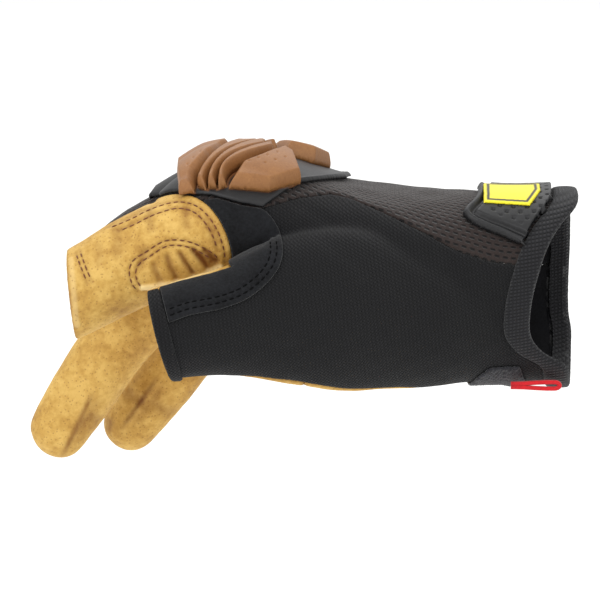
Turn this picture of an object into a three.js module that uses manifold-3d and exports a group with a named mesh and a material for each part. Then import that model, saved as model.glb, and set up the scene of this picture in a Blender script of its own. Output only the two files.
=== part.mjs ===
// Right-hand work glove with cut-off thumb, index and middle fingers, in the shape of a half-closed hand.
// Millimetres. +Z is the back of the hand, -X runs out along the fingers and -Y is the thumb side.
// The origin is the middle of the wrist opening.
import * as THREE from 'three';
import { mergeVertices } from 'three/addons/utils/BufferGeometryUtils.js';
import Module from 'manifold-3d';

const wasm = await Module();
wasm.setup();

// Driving dimensions of the hand form, measured outside the fabric.
const handLength = 107; // wrist opening to the middle knuckle
const handBreadth = 92; // across the knuckles
const handDepth = 66; // cuff, back to palm
const thumbLength = 131; // wrist opening to the thumb's open end
const fingerBreadth = 24; // a finger stall, side to side
const fingerDepth = 27; // a finger stall, back to palm
const indexLength = 61; // knuckle to the open end
const middleLength = 56;
const ringLength = 107; // knuckle to the closed tip
const littleLength = 92;

// Thicknesses and clearances.
const wall = 2; // leather, knit and mesh panels
const gap = 0.3; // clearance between neighbouring pieces
const patchThickness = 1;
const hemThickness = 0.9;
const guardPadHeight = 5.6;
const tabThickness = 2.2;
const badgeThickness = 1;
const loopRibbon = 1.4;
const loopRibbonWidth = 6;
const loopLength = 16.5;
const indexLeatherRise = 0.8; // how far the index leather stands above the panels round it
const guardBaseThickness = 1.5;
const bindingWidth = 8.5;
const bindingRise = 1.3;
const bindingInside = 0.8; // how far the binding stands inside the panels

const thumbSteps = 18; // corners round the thumb
const radians = THREE.MathUtils.degToRad;
const roundSteps = 26; // corners round the palm
const fingerSteps = 14; // corners round a finger

// A closed solid through rings of the same number of points, with flat ends.
function loftSolid(rings) {
  const count = rings[0].length;
  const position = rings.flat().flatMap((p) => [p.x, p.y, p.z]);
  const index = [];
  for (let i = 0; i + 1 < rings.length; i++) {
    for (let j = 0; j < count; j++) {
      const a = i * count + j;
      const b = i * count + ((j + 1) % count);
      index.push(a, a + count, b, b, a + count, b + count);
    }
  }
  const last = (rings.length - 1) * count;
  const [firstMiddle, lastMiddle] = [rings[0], rings.at(-1)].map((ring) => {
    const middle = ring.reduce((sum, p) => sum.add(p), new THREE.Vector3()).divideScalar(count);
    position.push(middle.x, middle.y, middle.z);
    return position.length / 3 - 1;
  });
  for (let j = 0; j < count; j++) {
    const k = (j + 1) % count;
    index.push(firstMiddle, j, k, lastMiddle, last + k, last + j);
  }
  return solidFrom(position, index);
}

// Positions and triangles as a solid, turned outwards if the rings ran the other way.
function solidFrom(position, index) {
  const make = (triVerts) => new wasm.Manifold(
    new wasm.Mesh({ numProp: 3, vertProperties: new Float32Array(position), triVerts: new Uint32Array(triVerts) }),
  );
  const made = make(index);
  return made.volume() > 0 ? made : make(index.slice().reverse());
}

// Rows of a table with a smooth cubic run through every column, by the distance between centres.
function smoothRows(rows, stepsEach) {
  const place = [0];
  rows.slice(1).forEach((row, i) => {
    const before = rows[i];
    place.push(place[i] + Math.hypot(row.x - before.x, row.y - before.y, row.z - before.z));
  });
  const names = Object.keys(rows[0]);
  const out = [];
  for (let i = 0; i + 1 < rows.length; i++) {
    const span = place[i + 1] - place[i];
    const slope = (k, name) => {
      const low = Math.max(k - 1, 0);
      const high = Math.min(k + 1, rows.length - 1);
      return ((rows[high][name] - rows[low][name]) / (place[high] - place[low])) * span;
    };
    for (let step = 0; step < stepsEach; step++) {
      const u = step / stepsEach;
      const blend = [2 * u ** 3 - 3 * u ** 2 + 1, u ** 3 - 2 * u ** 2 + u, -2 * u ** 3 + 3 * u ** 2, u ** 3 - u ** 2];
      const row = {};
      for (const name of names) {
        row[name] = blend[0] * rows[i][name] + blend[1] * slope(i, name)
          + blend[2] * rows[i + 1][name] + blend[3] * slope(i + 1, name);
      }
      out.push(row);
    }
  }
  return [...out, rows.at(-1)];
}

// One ring of a section: a superellipse, turned by roll, pitch and yaw, round its centre.
function sectionRing(row, grow, steps) {
  const turn = new THREE.Euler(-radians(row.roll), -radians(row.pitch), -radians(row.yaw), 'ZYX');
  const centre = new THREE.Vector3(row.x, row.y, row.z);
  const power = 2 / row.square;
  return Array.from({ length: steps }, (_, k) => {
    const angle = (2 * Math.PI * k) / steps;
    const [c, s] = [Math.cos(angle), Math.sin(angle)];
    const across = (row.wide + grow) * Math.sign(c) * Math.abs(c) ** power;
    const up = (row.thick + grow) * Math.sign(s) * Math.abs(s) ** power;
    return new THREE.Vector3(0, across, up).applyEuler(turn).add(centre);
  });
}

// Palm and wrist. along is a share of handLength, side and wide of handBreadth, lift and thick of handDepth.
const palmTable = [
  { along: -0.15, side: 0.02, lift: 0.01, wide: 0.39, thick: 0.48, pitch: 0, yaw: 0, roll: 0, square: 2.3 },
  { along: 0.02, side: 0.02, lift: 0.01, wide: 0.37, thick: 0.47, pitch: 0, yaw: 0, roll: 0, square: 2.3 },
  { along: 0.17, side: 0.02, lift: 0.01, wide: 0.36, thick: 0.465, pitch: 0, yaw: 0, roll: 0, square: 2.3 },
  { along: 0.33, side: 0.03, lift: 0.07, wide: 0.39, thick: 0.42, pitch: 0, yaw: 0, roll: 2, square: 2.5 },
  { along: 0.51, side: 0.03, lift: 0.165, wide: 0.43, thick: 0.345, pitch: 0, yaw: 3, roll: 5, square: 2.7 },
  { along: 0.7, side: 0.02, lift: 0.265, wide: 0.465, thick: 0.3, pitch: -2, yaw: 10, roll: 10, square: 2.7 },
  { along: 0.86, side: 0.02, lift: 0.36, wide: 0.485, thick: 0.285, pitch: 4, yaw: 16, roll: 14, square: 2.5 },
  { along: 0.99, side: 0.02, lift: 0.335, wide: 0.475, thick: 0.26, pitch: 26, yaw: 19, roll: 16, square: 2.4 },
  { along: 1.1, side: 0.02, lift: 0.18, wide: 0.45, thick: 0.19, pitch: 42, yaw: 20, roll: 17, square: 2.3 },
];
const palmRows = smoothRows(palmTable.map((row) => ({
  ...row,
  x: -row.along * handLength,
  y: row.side * handBreadth,
  z: row.lift * handDepth,
  wide: row.wide * handBreadth,
  thick: row.thick * handDepth,
})), 2);

// Thumb and the ball of the thumb. along is a share of thumbLength, side and wide of handBreadth, lift and thick
// of handDepth.
const thumbTable = [
  { along: 0.1, side: -0.1, lift: -0.12, wide: 0.2, thick: 0.3, pitch: 0, yaw: 0, roll: 0, square: 2 },
  { along: 0.35, side: -0.29, lift: -0.05, wide: 0.215, thick: 0.35, pitch: 0, yaw: 20, roll: 0, square: 2 },
  { along: 0.51, side: -0.39, lift: 0.02, wide: 0.22, thick: 0.41, pitch: 0, yaw: 20, roll: 0, square: 2.1 },
  { along: 0.69, side: -0.5, lift: 0.045, wide: 0.18, thick: 0.365, pitch: 2, yaw: 14, roll: 0, square: 2 },
  { along: 0.84, side: -0.59, lift: 0.01, wide: 0.15, thick: 0.265, pitch: 9, yaw: 8, roll: 0, square: 2 },
  { along: 1, side: -0.63, lift: -0.035, wide: 0.138, thick: 0.222, pitch: 15, yaw: 3, roll: 0, square: 2 },
];
const thumbRows = smoothRows(thumbTable.map((row) => ({
  ...row,
  x: -row.along * thumbLength,
  y: row.side * handBreadth,
  z: row.lift * handDepth,
  wide: row.wide * handBreadth,
  thick: row.thick * handDepth,
})), 2);

// Fingers. along, side and lift place the knuckle as shares of handLength, handBreadth and handDepth. Each bone is
// a share of the finger's length with the angle it drops below level. mouth is the lean of an open end. wide and
// thick are shares of fingerBreadth and fingerDepth.
const fingerTable = [
  { name: 'index', length: indexLength, open: true, along: 0.97, side: -0.35, lift: 0.435, splay: 1.5, back: 0.42,
    mouth: 6,
    bones: [{ share: 0.52, drop: 18 }, { share: 0.48, drop: 27 }],
    girths: [{ wide: 0.5, thick: 0.52 }, { wide: 0.5, thick: 0.53 }, { wide: 0.5, thick: 0.52 }] },
  { name: 'middle', length: middleLength, open: true, along: 0.985, side: -0.1, lift: 0.49, splay: 0, back: 0.45,
    mouth: 16,
    bones: [{ share: 0.52, drop: 25 }, { share: 0.48, drop: 36 }],
    girths: [{ wide: 0.48, thick: 0.5 }, { wide: 0.47, thick: 0.49 }, { wide: 0.46, thick: 0.47 }] },
  { name: 'ring', length: ringLength, open: false, along: 0.95, side: 0.15, lift: 0.33, splay: -1, back: 0.3,
    bones: [{ share: 0.5, drop: 42 }, { share: 0.28, drop: 55 }, { share: 0.22, drop: 58 }],
    girths: [
      { wide: 0.47, thick: 0.48 },
      { wide: 0.46, thick: 0.44 },
      { wide: 0.44, thick: 0.41 },
      { wide: 0.4, thick: 0.36 },
    ] },
  { name: 'little', length: littleLength, open: false, along: 0.84, side: 0.39, lift: 0.14, splay: -2.5, back: 0.3,
    bones: [{ share: 0.48, drop: 48 }, { share: 0.28, drop: 52 }, { share: 0.24, drop: 54 }],
    girths: [
      { wide: 0.43, thick: 0.44 },
      { wide: 0.42, thick: 0.41 },
      { wide: 0.4, thick: 0.38 },
      { wide: 0.37, thick: 0.34 },
    ] },
];

// A finger's centre line: a start inside the palm, the knuckle, then the end of every bone.
const fingerSquare = 2.15;
const fingerRoot = { girth: 0.7, fall: 0.25, pitch: -10 }; // the start inside the palm, seen from the knuckle
const knucklePitch = 0.6; // share of the first bone's drop
function fingerRows(finger) {
  const girth = (k) => ({
    wide: finger.girths[k].wide * fingerBreadth,
    thick: finger.girths[k].thick * fingerDepth,
  });
  const knuckle = new THREE.Vector3(
    -finger.along * handLength,
    finger.side * handBreadth,
    finger.lift * handDepth,
  );
  const turned = (drop) => ({ pitch: drop, yaw: finger.splay, roll: 0, square: fingerSquare });
  const inside = finger.back * finger.length;
  const rows = [{
    x: knuckle.x + inside,
    y: knuckle.y,
    z: knuckle.z - fingerRoot.fall * inside,
    wide: fingerRoot.girth * girth(0).wide,
    thick: fingerRoot.girth * girth(0).thick,
    ...turned(fingerRoot.pitch),
  }];
  rows.push({
    x: knuckle.x,
    y: knuckle.y,
    z: knuckle.z,
    ...girth(0),
    ...turned(finger.bones[0].drop * knucklePitch),
  });
  finger.bones.forEach((bone, k) => {
    const tip = k === finger.bones.length - 1 && !finger.open;
    const run = bone.share * finger.length - (tip ? girth(k + 1).thick : 0);
    const before = rows.at(-1);
    const next = finger.bones[k + 1] ?? bone;
    rows.push({
      x: before.x - run * Math.cos(radians(bone.drop)),
      y: before.y - run * Math.sin(radians(finger.splay)),
      z: before.z - run * Math.sin(radians(bone.drop)),
      ...girth(k + 1), ...turned((bone.drop + next.drop) / 2),
    });
  });
  if (finger.open) rows.at(-1).pitch = finger.mouth;
  return smoothRows(rows, finger.open ? 1 : 2);
}

// A finger as a solid grown by a thickness. A closed finger ends in a round tip, an open one in a flat end.
function fingerSolid(finger, grow, past) {
  const rows = fingerRows(finger);
  const end = rows.at(-1);
  const forward = (distance) => ({
    ...end,
    x: end.x - distance * Math.cos(radians(end.pitch)),
    z: end.z - distance * Math.sin(radians(end.pitch)),
  });
  const rings = rows.map((row) => sectionRing(row, grow, fingerSteps));
  if (finger.open) {
    if (past > 0) rings.push(sectionRing(forward(past), grow, fingerSteps));
    return loftSolid(rings);
  }
  for (const angle of [35, 65]) {
    const row = forward((end.thick + grow) * Math.sin(radians(angle)));
    const shrink = Math.cos(radians(angle));
    row.wide = (end.wide + grow) * shrink;
    row.thick = (end.thick + grow) * shrink;
    rings.push(sectionRing(row, 0, fingerSteps));
  }
  return loftSolid(rings);
}

// The whole hand grown by a thickness. One that hollows another runs past the open ends, so that it cuts them open.
const pastMouth = 6;
const forms = new Map();
function handForm(grow, past = 0) {
  const key = `${grow} ${past}`;
  if (forms.has(key)) return forms.get(key);
  const extend = (rows) => {
    const end = rows.at(-1);
    const drop = radians(end.pitch);
    const beyond = { ...end, x: end.x - past * Math.cos(drop), z: end.z - past * Math.sin(drop) };
    return past ? [...rows, beyond] : rows;
  };
  const palm = palmRows.map((row) => sectionRing(row, grow, roundSteps));
  const lastPitch = radians(palmRows.at(-1).pitch);
  for (const point of palm.at(-1)) {
    point.x -= grow * Math.cos(lastPitch);
    point.z -= grow * Math.sin(lastPitch);
  }
  if (past) palm.unshift(sectionRing({ ...palmRows[0], x: palmRows[0].x + past }, grow, roundSteps));
  const thumb = extend(thumbRows).map((row) => sectionRing(row, grow, thumbSteps));
  let made = loftSolid(palm).add(loftSolid(thumb));
  for (const finger of fingerTable) made = made.add(fingerSolid(finger, grow, past));
  forms.set(key, made);
  return made;
}

const inside = handForm(-wall, pastMouth);
const skin = handForm(0).subtract(inside);

const farReach = 2 * handBreadth;

// Everything on the thumb side of a line drawn on the palm. side is a share of handBreadth.
const palmSeamTable = [
  { along: -0.3, side: -0.1 },
  { along: 0.2, side: -0.16 },
  { along: 0.38, side: -0.27 },
  { along: 0.56, side: -0.41 },
  { along: 0.75, side: -0.53 },
  { along: 0.93, side: -0.61 },
  { along: 1.5, side: -0.68 },
];
function thumbSideOf(table, shift) {
  return loftSolid(table.map((row) => {
    const x = -row.along * handLength;
    const y = row.side * handBreadth + shift;
    return [
      new THREE.Vector3(x, y, -farReach),
      new THREE.Vector3(x, y, farReach),
      new THREE.Vector3(x, -farReach, farReach),
      new THREE.Vector3(x, -farReach, -farReach),
    ];
  }));
}

// Everything past the cuff's edge, less a distance. near and far are how far out of the hand the edge lies at that
// height, as shares of handLength, on the thumb side and the little-finger side.
const cuffEdgeTable = [
  { lift: -1, near: 0.015, far: 0.05 },
  { lift: -0.35, near: 0.015, far: 0.05 },
  { lift: -0.29, near: -0.005, far: 0.05 },
  { lift: -0.23, near: -0.07, far: 0.045 },
  { lift: -0.14, near: -0.11, far: 0.04 },
  { lift: 0, near: -0.11, far: 0.04 },
  { lift: 0.16, near: -0.09, far: 0.045 },
  { lift: 0.31, near: -0.06, far: 0.05 },
  { lift: 0.4, near: -0.02, far: 0.055 },
  { lift: 0.47, near: 0.04, far: 0.06 },
  { lift: 0.52, near: 0.06, far: 0.06 },
  { lift: 1, near: 0.06, far: 0.06 },
];
const cuffColumns = 8; // straight pieces of the edge across the hand
const cuffReach = 0.6 * handBreadth; // the cut reaches this far to each side
const cuffHalf = 0.4 * handBreadth; // where near and far are read
function pastCuff(back) {
  const levels = cuffEdgeTable.map((row) => ({ ...row, x: 0, y: 0, z: row.lift * handDepth }));
  return loftSolid(smoothRows(levels, 1).map((row) => {
    const edge = Array.from({ length: cuffColumns + 1 }, (_, k) => {
      const y = cuffReach * ((2 * k) / cuffColumns - 1);
      const out = row.near + ((row.far - row.near) * (y / cuffHalf + 1)) / 2;
      return new THREE.Vector3(out * handLength - back, y, row.z);
    });
    return [
      ...edge,
      new THREE.Vector3(farReach, cuffReach, row.z),
      new THREE.Vector3(farReach, -cuffReach, row.z),
    ];
  }));
}

// Outlines on the side of the hand are drawn on an upright plane along the hand, seen from the thumb side and
// viewTilt above level. along is a share of handLength from the wrist, lift a share of handDepth from the wrist
// opening's middle.
const viewTilt = radians(12);
const outlineSteps = 4; // straight pieces between two points of a rounded outline

function roundedOutline(points) {
  const curve = new THREE.CatmullRomCurve3(points, true, 'centripetal');
  return curve.getPoints(points.length * outlineSteps).slice(0, -1);
}
function outlinePoints(table, rounded, length = handLength) {
  const points = table.map((row) => new THREE.Vector3(-row.along * length, row.lift * handDepth, 0));
  return rounded ? roundedOutline(points) : points;
}

// An outline moved outwards by a distance, square to itself.
function offsetOutline(points, distance) {
  const turn = points.reduce((sum, p, i) => {
    const next = points[(i + 1) % points.length];
    return sum + p.x * next.y - next.x * p.y;
  }, 0) > 0 ? 1 : -1;
  return points.map((p, i) => {
    const before = points[(i + points.length - 1) % points.length];
    const after = points[(i + 1) % points.length];
    const along = after.clone().sub(before).normalize();
    return new THREE.Vector3(p.x + turn * along.y * distance, p.y - turn * along.x * distance, 0);
  });
}

// A straight prism of a flat outline, with the outline's plane carried to its place by a matrix.
function prismSolid(points, depth, matrix) {
  const shape = new THREE.Shape(points.map((p) => new THREE.Vector2(p.x, p.y)));
  const geometry = new THREE.ExtrudeGeometry(shape, { depth, bevelEnabled: false });
  geometry.applyMatrix4(matrix);
  geometry.deleteAttribute('normal');
  geometry.deleteAttribute('uv');
  const merged = mergeVertices(geometry, 1e-4);
  return solidFrom(Array.from(merged.attributes.position.array), Array.from(merged.index.array));
}

// Everything behind a side outline, from y = near to y = far.
function sidePrism(points, near, far) {
  const [c, t] = [Math.cos(viewTilt), Math.tan(viewTilt)];
  const lean = new THREE.Matrix4().set(1, 0, 0, 0, 0, 0, 1, near, 0, 1 / c, -t, -near * t, 0, 0, 0, 1);
  return prismSolid(points, far - near, lean);
}

// Everything over and under a plan outline. along is a share of handLength, side a share of handBreadth.
function planPoints(table, rounded, length = handLength) {
  const points = table.map((row) => new THREE.Vector3(-row.along * length, row.side * handBreadth, 0));
  return rounded ? roundedOutline(points) : points;
}
function planPrism(points, low, high) {
  return prismSolid(points, high - low, new THREE.Matrix4().makeTranslation(0, 0, low));
}

// The strip along a finger's back, out to a share of the finger's length and a distance wider than the strip.
const backStripWidth = 0.62; // share of the finger's half width
const backStripBase = 0.15; // share of the finger's half depth
const pastStrip = 8; // how far the strip runs past an open end
function fingerBack(finger, wider) {
  const rows = fingerRows(finger).slice(1, finger.open ? undefined : -4);
  const end = rows.at(-1);
  const drop = radians(end.pitch);
  if (finger.open) {
    rows.push({ ...end, x: end.x - pastStrip * Math.cos(drop), z: end.z - pastStrip * Math.sin(drop) });
  }
  return loftSolid(rows.map((row) => {
    const turn = new THREE.Euler(-radians(row.roll), -radians(row.pitch), -radians(row.yaw), 'ZYX');
    const centre = new THREE.Vector3(row.x, row.y, row.z);
    const half = row.wide * backStripWidth + wider;
    const low = row.thick * backStripBase - wider;
    const high = row.thick * 2;
    return [[half, low], [half, high], [-half, high], [-half, low]]
      .map(([across, up]) => new THREE.Vector3(0, across, up).applyEuler(turn).add(centre));
  }));
}

const [, middleFinger, ringFinger, littleFinger] = fingerTable;
const indexFarSide = -0.235 * handBreadth; // where the index finger meets the middle finger

// The index finger's leather: its edge runs up over the knuckle and down into the web of the thumb.
const indexLeatherTable = [
  { along: 1.62, lift: 0.24 },
  { along: 1.39, lift: 0.335 },
  { along: 1.32, lift: 0.38 },
  { along: 1.265, lift: 0.425 },
  { along: 1.175, lift: 0.465 },
  { along: 1.11, lift: 0.445 },
  { along: 1.064, lift: 0.385 },
  { along: 1.024, lift: 0.275 },
  { along: 1.008, lift: 0.14 },
  { along: 1.03, lift: 0.06 },
  { along: 1.27, lift: -0.2 },
  { along: 1.62, lift: -0.4 },
];
const indexLeatherEdge = outlinePoints(indexLeatherTable, true);
const thumbSolid = (grow) => loftSolid(thumbRows.map((row) => sectionRing(row, grow, thumbSteps)));
const indexLeatherRegion = (more) => {
  const edge = offsetOutline(indexLeatherEdge, more);
  return sidePrism(edge, -farReach, indexFarSide + more).subtract(thumbSolid(indexLeatherRise + gap - more));
};
const indexBackTable = [
  { along: 1.62, lift: 0.24 },
  { along: 1.39, lift: 0.33 },
  { along: 1.3, lift: 0.38 },
  { along: 1.175, lift: 0.44 },
  { along: 1.0, lift: 0.44 },
  { along: 1.0, lift: 1 },
  { along: 1.62, lift: 1 },
];
const webTable = [
  { along: 1.01, lift: 0.12 },
  { along: 1.1, lift: 0.4 },
  { along: 1.1, lift: 0.7 },
  { along: 0.1, lift: 0.7 },
  { along: 0.1, lift: -0.2 },
  { along: 0.43, lift: -0.2 },
  { along: 0.68, lift: -0.1 },
  { along: 0.86, lift: 0.025 },
  { along: 0.99, lift: 0.1 },
];
const webFarSide = -0.2 * handBreadth;

// The back of the hand, drawn on its thumb side and on its little-finger side.
const backNearTable = [
  { along: -0.3, lift: 0.03 },
  { along: 0.09, lift: 0.11 },
  { along: 0.22, lift: 0.14 },
  { along: 0.31, lift: 0.185 },
  { along: 0.43, lift: 0.29 },
  { along: 0.555, lift: 0.39 },
  { along: 0.65, lift: 0.455 },
  { along: 0.71, lift: 0.475 },
  { along: 0.8, lift: 0.46 },
  { along: 0.92, lift: 0.4 },
  { along: 1.03, lift: 0.4 },
  { along: 1.03, lift: 1.2 },
  { along: -0.3, lift: 1.2 },
];
const backFarTable = [
  { along: -0.3, lift: 0.12 },
  { along: 0.3, lift: 0.14 },
  { along: 0.7, lift: 0.16 },
  { along: 0.92, lift: 0.12 },
  { along: 1.03, lift: 0.3 },
  { along: 1.03, lift: 1.2 },
  { along: -0.3, lift: 1.2 },
];
const sideRegion = (table, more, near, far) => sidePrism(offsetOutline(outlinePoints(table, false), more), near, far);
const backRegion = (more) => {
  let made = sideRegion(backNearTable, more, -farReach, 0).add(sideRegion(backFarTable, more, 0, farReach));
  for (const finger of [middleFinger, ringFinger, littleFinger]) made = made.add(fingerBack(finger, more));
  return made.add(sideRegion(indexBackTable, more, -farReach, indexFarSide + more));
};
const webNearSide = -0.33 * handBreadth; // the knit ends here below the shoulder, and at webFarSide above it
const webShoulder = 0.3 * handDepth;
const knitRegion = (more) => {
  const web = offsetOutline(outlinePoints(webTable, false), more);
  const corners = [[-1, -1], [1, -1], [1, 1], [-1, 1]];
  const everywhere = corners.map(([x, y]) => new THREE.Vector3(x * farReach, y * farReach, 0));
  const above = planPrism(everywhere, webShoulder - more, farReach);
  const shoulder = sidePrism(web, -farReach, webFarSide).intersect(above);
  return thumbSideOf(palmSeamTable, more).add(sidePrism(web, -farReach, webNearSide + more)).add(shoulder);
};
// The thumb's own leather in plan. along is a share of thumbLength.
const thumbLeatherPlan = [
  { along: 0.645, side: -0.49 },
  { along: 1.225, side: -0.5 },
  { along: 1.225, side: -1.2 },
  { along: 0.645, side: -1.2 },
];
const thumbLeatherTop = 0.2 * handDepth;
const thumbLeatherRegion = (more) => {
  const plan = planPoints(thumbLeatherPlan, false, thumbLength);
  return planPrism(offsetOutline(plan, more), -farReach, thumbLeatherTop);
};

const shell = skin.subtract(pastCuff(bindingWidth + gap));
const indexLeather = handForm(indexLeatherRise).subtract(inside).intersect(indexLeatherRegion(0));
const besideIndex = shell.subtract(indexLeatherRegion(gap));
const backMesh = besideIndex.intersect(backRegion(0));
const besideBack = besideIndex.subtract(backRegion(gap));
const sideKnit = besideBack.intersect(knitRegion(0));
const besideKnit = besideBack.subtract(knitRegion(gap));
const thumbLeather = besideKnit.intersect(thumbLeatherRegion(0));
const palmLeather = besideKnit.subtract(thumbLeatherRegion(gap));

// A layer round the hand between two heights above its skin.
const layer = (low, high) => handForm(high).subtract(handForm(low, pastMouth));

// Knuckle guard: one base over all the knuckles, drawn from the thumb side up to the hand's middle and in plan
// beyond it.
const guardNearTable = [
  { along: 1.26, lift: 0.45 },
  { along: 1.17, lift: 0.462 },
  { along: 1.07, lift: 0.455 },
  { along: 0.985, lift: 0.42 },
  { along: 0.916, lift: 0.4 },
  { along: 0.85, lift: 0.475 },
  { along: 0.8, lift: 0.515 },
  { along: 0.71, lift: 0.535 },
  { along: 0.66, lift: 0.545 },
  { along: 0.66, lift: 1.2 },
  { along: 1.19, lift: 1.2 },
  { along: 1.19, lift: 0.6 },
];
const guardFarTable = [
  { along: 1.19, side: 0 },
  { along: 1.14, side: 0.13 },
  { along: 1.06, side: 0.28 },
  { along: 0.98, side: 0.39 },
  { along: 0.88, side: 0.44 },
  { along: 0.77, side: 0.43 },
  { along: 0.69, side: 0.35 },
  { along: 0.645, side: 0.2 },
  { along: 0.66, side: 0 },
];
const guardFarFloor = 0.28 * handDepth;
const guardRegion = (more) => {
  const farOutline = offsetOutline(planPoints(guardFarTable, false), more);
  return sideRegion(guardNearTable, more, -farReach, 0).add(planPrism(farOutline, guardFarFloor, farReach));
};
const guardLow = gap;
const guardHigh = gap + guardBaseThickness;
const guardBase = layer(guardLow, guardHigh).intersect(guardRegion(0)).subtract(indexLeatherRegion(gap));

// Pads and ribs of the guard. The near group lies over the index and middle knuckles, the far group over the
// other two.
const padLayer = layer(guardHigh + gap, guardHigh + gap + guardPadHeight);
const centreGroove = 0.01 * handBreadth; // half the groove between the two groups
const nearPadTables = {
  near_front_pad: [
    { along: 1.182, lift: 0.52 },
    { along: 1.133, lift: 0.53 },
    { along: 1.12, lift: 0.61 },
    { along: 1.073, lift: 0.69 },
    { along: 0.99, lift: 0.765 },
    { along: 0.95, lift: 0.785 },
    { along: 0.95, lift: 1.2 },
    { along: 1.18, lift: 1.2 },
    { along: 1.195, lift: 0.62 },
  ],
  near_rear_pad: [
    { along: 1.02, lift: 0.545 },
    { along: 0.885, lift: 0.525 },
    { along: 0.786, lift: 0.575 },
    { along: 0.81, lift: 0.68 },
    { along: 0.855, lift: 0.725 },
    { along: 0.983, lift: 0.645 },
  ],
};
const farPadTables = {
  far_front_pad: [
    { along: 0.985, side: 0.012 },
    { along: 1.165, side: 0.012 },
    { along: 1.13, side: 0.13 },
    { along: 1.065, side: 0.255 },
    { along: 1.035, side: 0.24 },
  ],
  far_rear_pad: [
    { along: 0.84, side: 0.02 },
    { along: 0.76, side: 0.05 },
    { along: 0.715, side: 0.15 },
    { along: 0.745, side: 0.3 },
    { along: 0.865, side: 0.375 },
    { along: 0.91, side: 0.3 },
    { along: 0.885, side: 0.14 },
  ],
};
const ribCount = 3;
const ribSteps = 6; // straight pieces along a rib
const ribThickness = 1.9;
const grooveWidth = 1.1; // least groove between a pad and a rib
const nearRib = {
  foot: [1.108, 0.548], bend: [1.068, 0.73], top: [0.928, 0.757],
  step: [[-0.0345, 0], [-0.003, -0.033], [-0.0245, -0.015]], taper: 0.62,
};
const farRib = {
  foot: [1.028, 0.275], bend: [0.99, 0.16], top: [0.94, 0.014],
  step: [[-0.035, 0.008], [-0.03, 0], [-0.03, 0]], taper: 0,
};

// The outline of a curved rib from its foot to its top. It tapers where its top end is seen at a slant.
function ribOutline(rib, number, sizeAlong, sizeAcross, thickness) {
  const [foot, bend, top] = ['foot', 'bend', 'top'].map((name, k) => new THREE.Vector3(
    -(rib[name][0] + rib.step[k][0] * number) * sizeAlong,
    (rib[name][1] + rib.step[k][1] * number) * sizeAcross,
    0,
  ));
  const curve = new THREE.QuadraticBezierCurve3(foot, bend, top);
  const sides = [[], []];
  for (let k = 0; k <= ribSteps; k++) {
    const along = curve.getTangent(k / ribSteps);
    const half = (thickness / 2) * (1 - rib.taper * (k / ribSteps));
    const square = new THREE.Vector3(-along.y, along.x, 0).multiplyScalar(half);
    sides[0].push(curve.getPoint(k / ribSteps).add(square));
    sides[1].unshift(curve.getPoint(k / ribSteps).sub(square));
  }
  return sides.flat();
}
const nearRibRegion = (number, thickness) => sidePrism(
  ribOutline(nearRib, number, handLength, handDepth, thickness), -farReach, -centreGroove);
const farRibRegion = (number, thickness) => planPrism(
  ribOutline(farRib, number, handLength, handBreadth, thickness), 0, farReach);
const guardPads = {};
for (const [name, table] of Object.entries(nearPadTables)) {
  guardPads[name] = sidePrism(outlinePoints(table, false), -farReach, -centreGroove).intersect(padLayer);
}
for (const [name, table] of Object.entries(farPadTables)) {
  guardPads[name] = planPrism(planPoints(table, false), 0, farReach).intersect(padLayer);
}
for (let number = 0; number < ribCount; number++) {
  const grooved = ribThickness + 2 * grooveWidth;
  const clear = nearRibRegion(number, grooved).add(farRibRegion(number, grooved));
  for (const name of [...Object.keys(nearPadTables), ...Object.keys(farPadTables)]) {
    guardPads[name] = guardPads[name].subtract(clear);
  }
  guardPads[`near_rib_${number + 1}`] = nearRibRegion(number, ribThickness).intersect(padLayer);
  guardPads[`far_rib_${number + 1}`] = farRibRegion(number, ribThickness).intersect(padLayer);
}

// The hem round the thumb's open end. along is a share of thumbLength.
const hemTable = [
  { along: 1.062, lift: 0.08 },
  { along: 1.011, lift: 0.08 },
  { along: 0.937, lift: -0.48 },
  { along: 0.988, lift: -0.5 },
];
const thumbSide = -0.49 * handBreadth;
const hemRegion = (more) => {
  const outline = offsetOutline(outlinePoints(hemTable, false, thumbLength), more);
  return sidePrism(outline, -farReach, thumbSide).intersect(thumbSideOf(palmSeamTable, more));
};
const thumbHem = layer(gap, gap + hemThickness).intersect(hemRegion(0));

// The patch that saddles the web between thumb and index finger.
const saddleTable = [
  { along: 0.916, lift: 0.4 },
  { along: 0.875, lift: 0.33 },
  { along: 0.853, lift: 0.22 },
  { along: 0.86, lift: 0.13 },
  { along: 0.89, lift: 0.05 },
  { along: 0.956, lift: -0.04 },
  { along: 1.033, lift: -0.09 },
  { along: 1.125, lift: -0.12 },
  { along: 1.24, lift: -0.16 },
  { along: 1.3, lift: 0.08 },
  { along: 1.1, lift: 0.44 },
];
const webPatch = layer(gap, gap + patchThickness)
  .intersect(sidePrism(outlinePoints(saddleTable, false), -farReach, webFarSide))
  .intersect(knitRegion(-gap))
  .subtract(indexLeatherRegion(gap))
  .subtract(guardRegion(gap))
  .subtract(hemRegion(gap));

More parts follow.
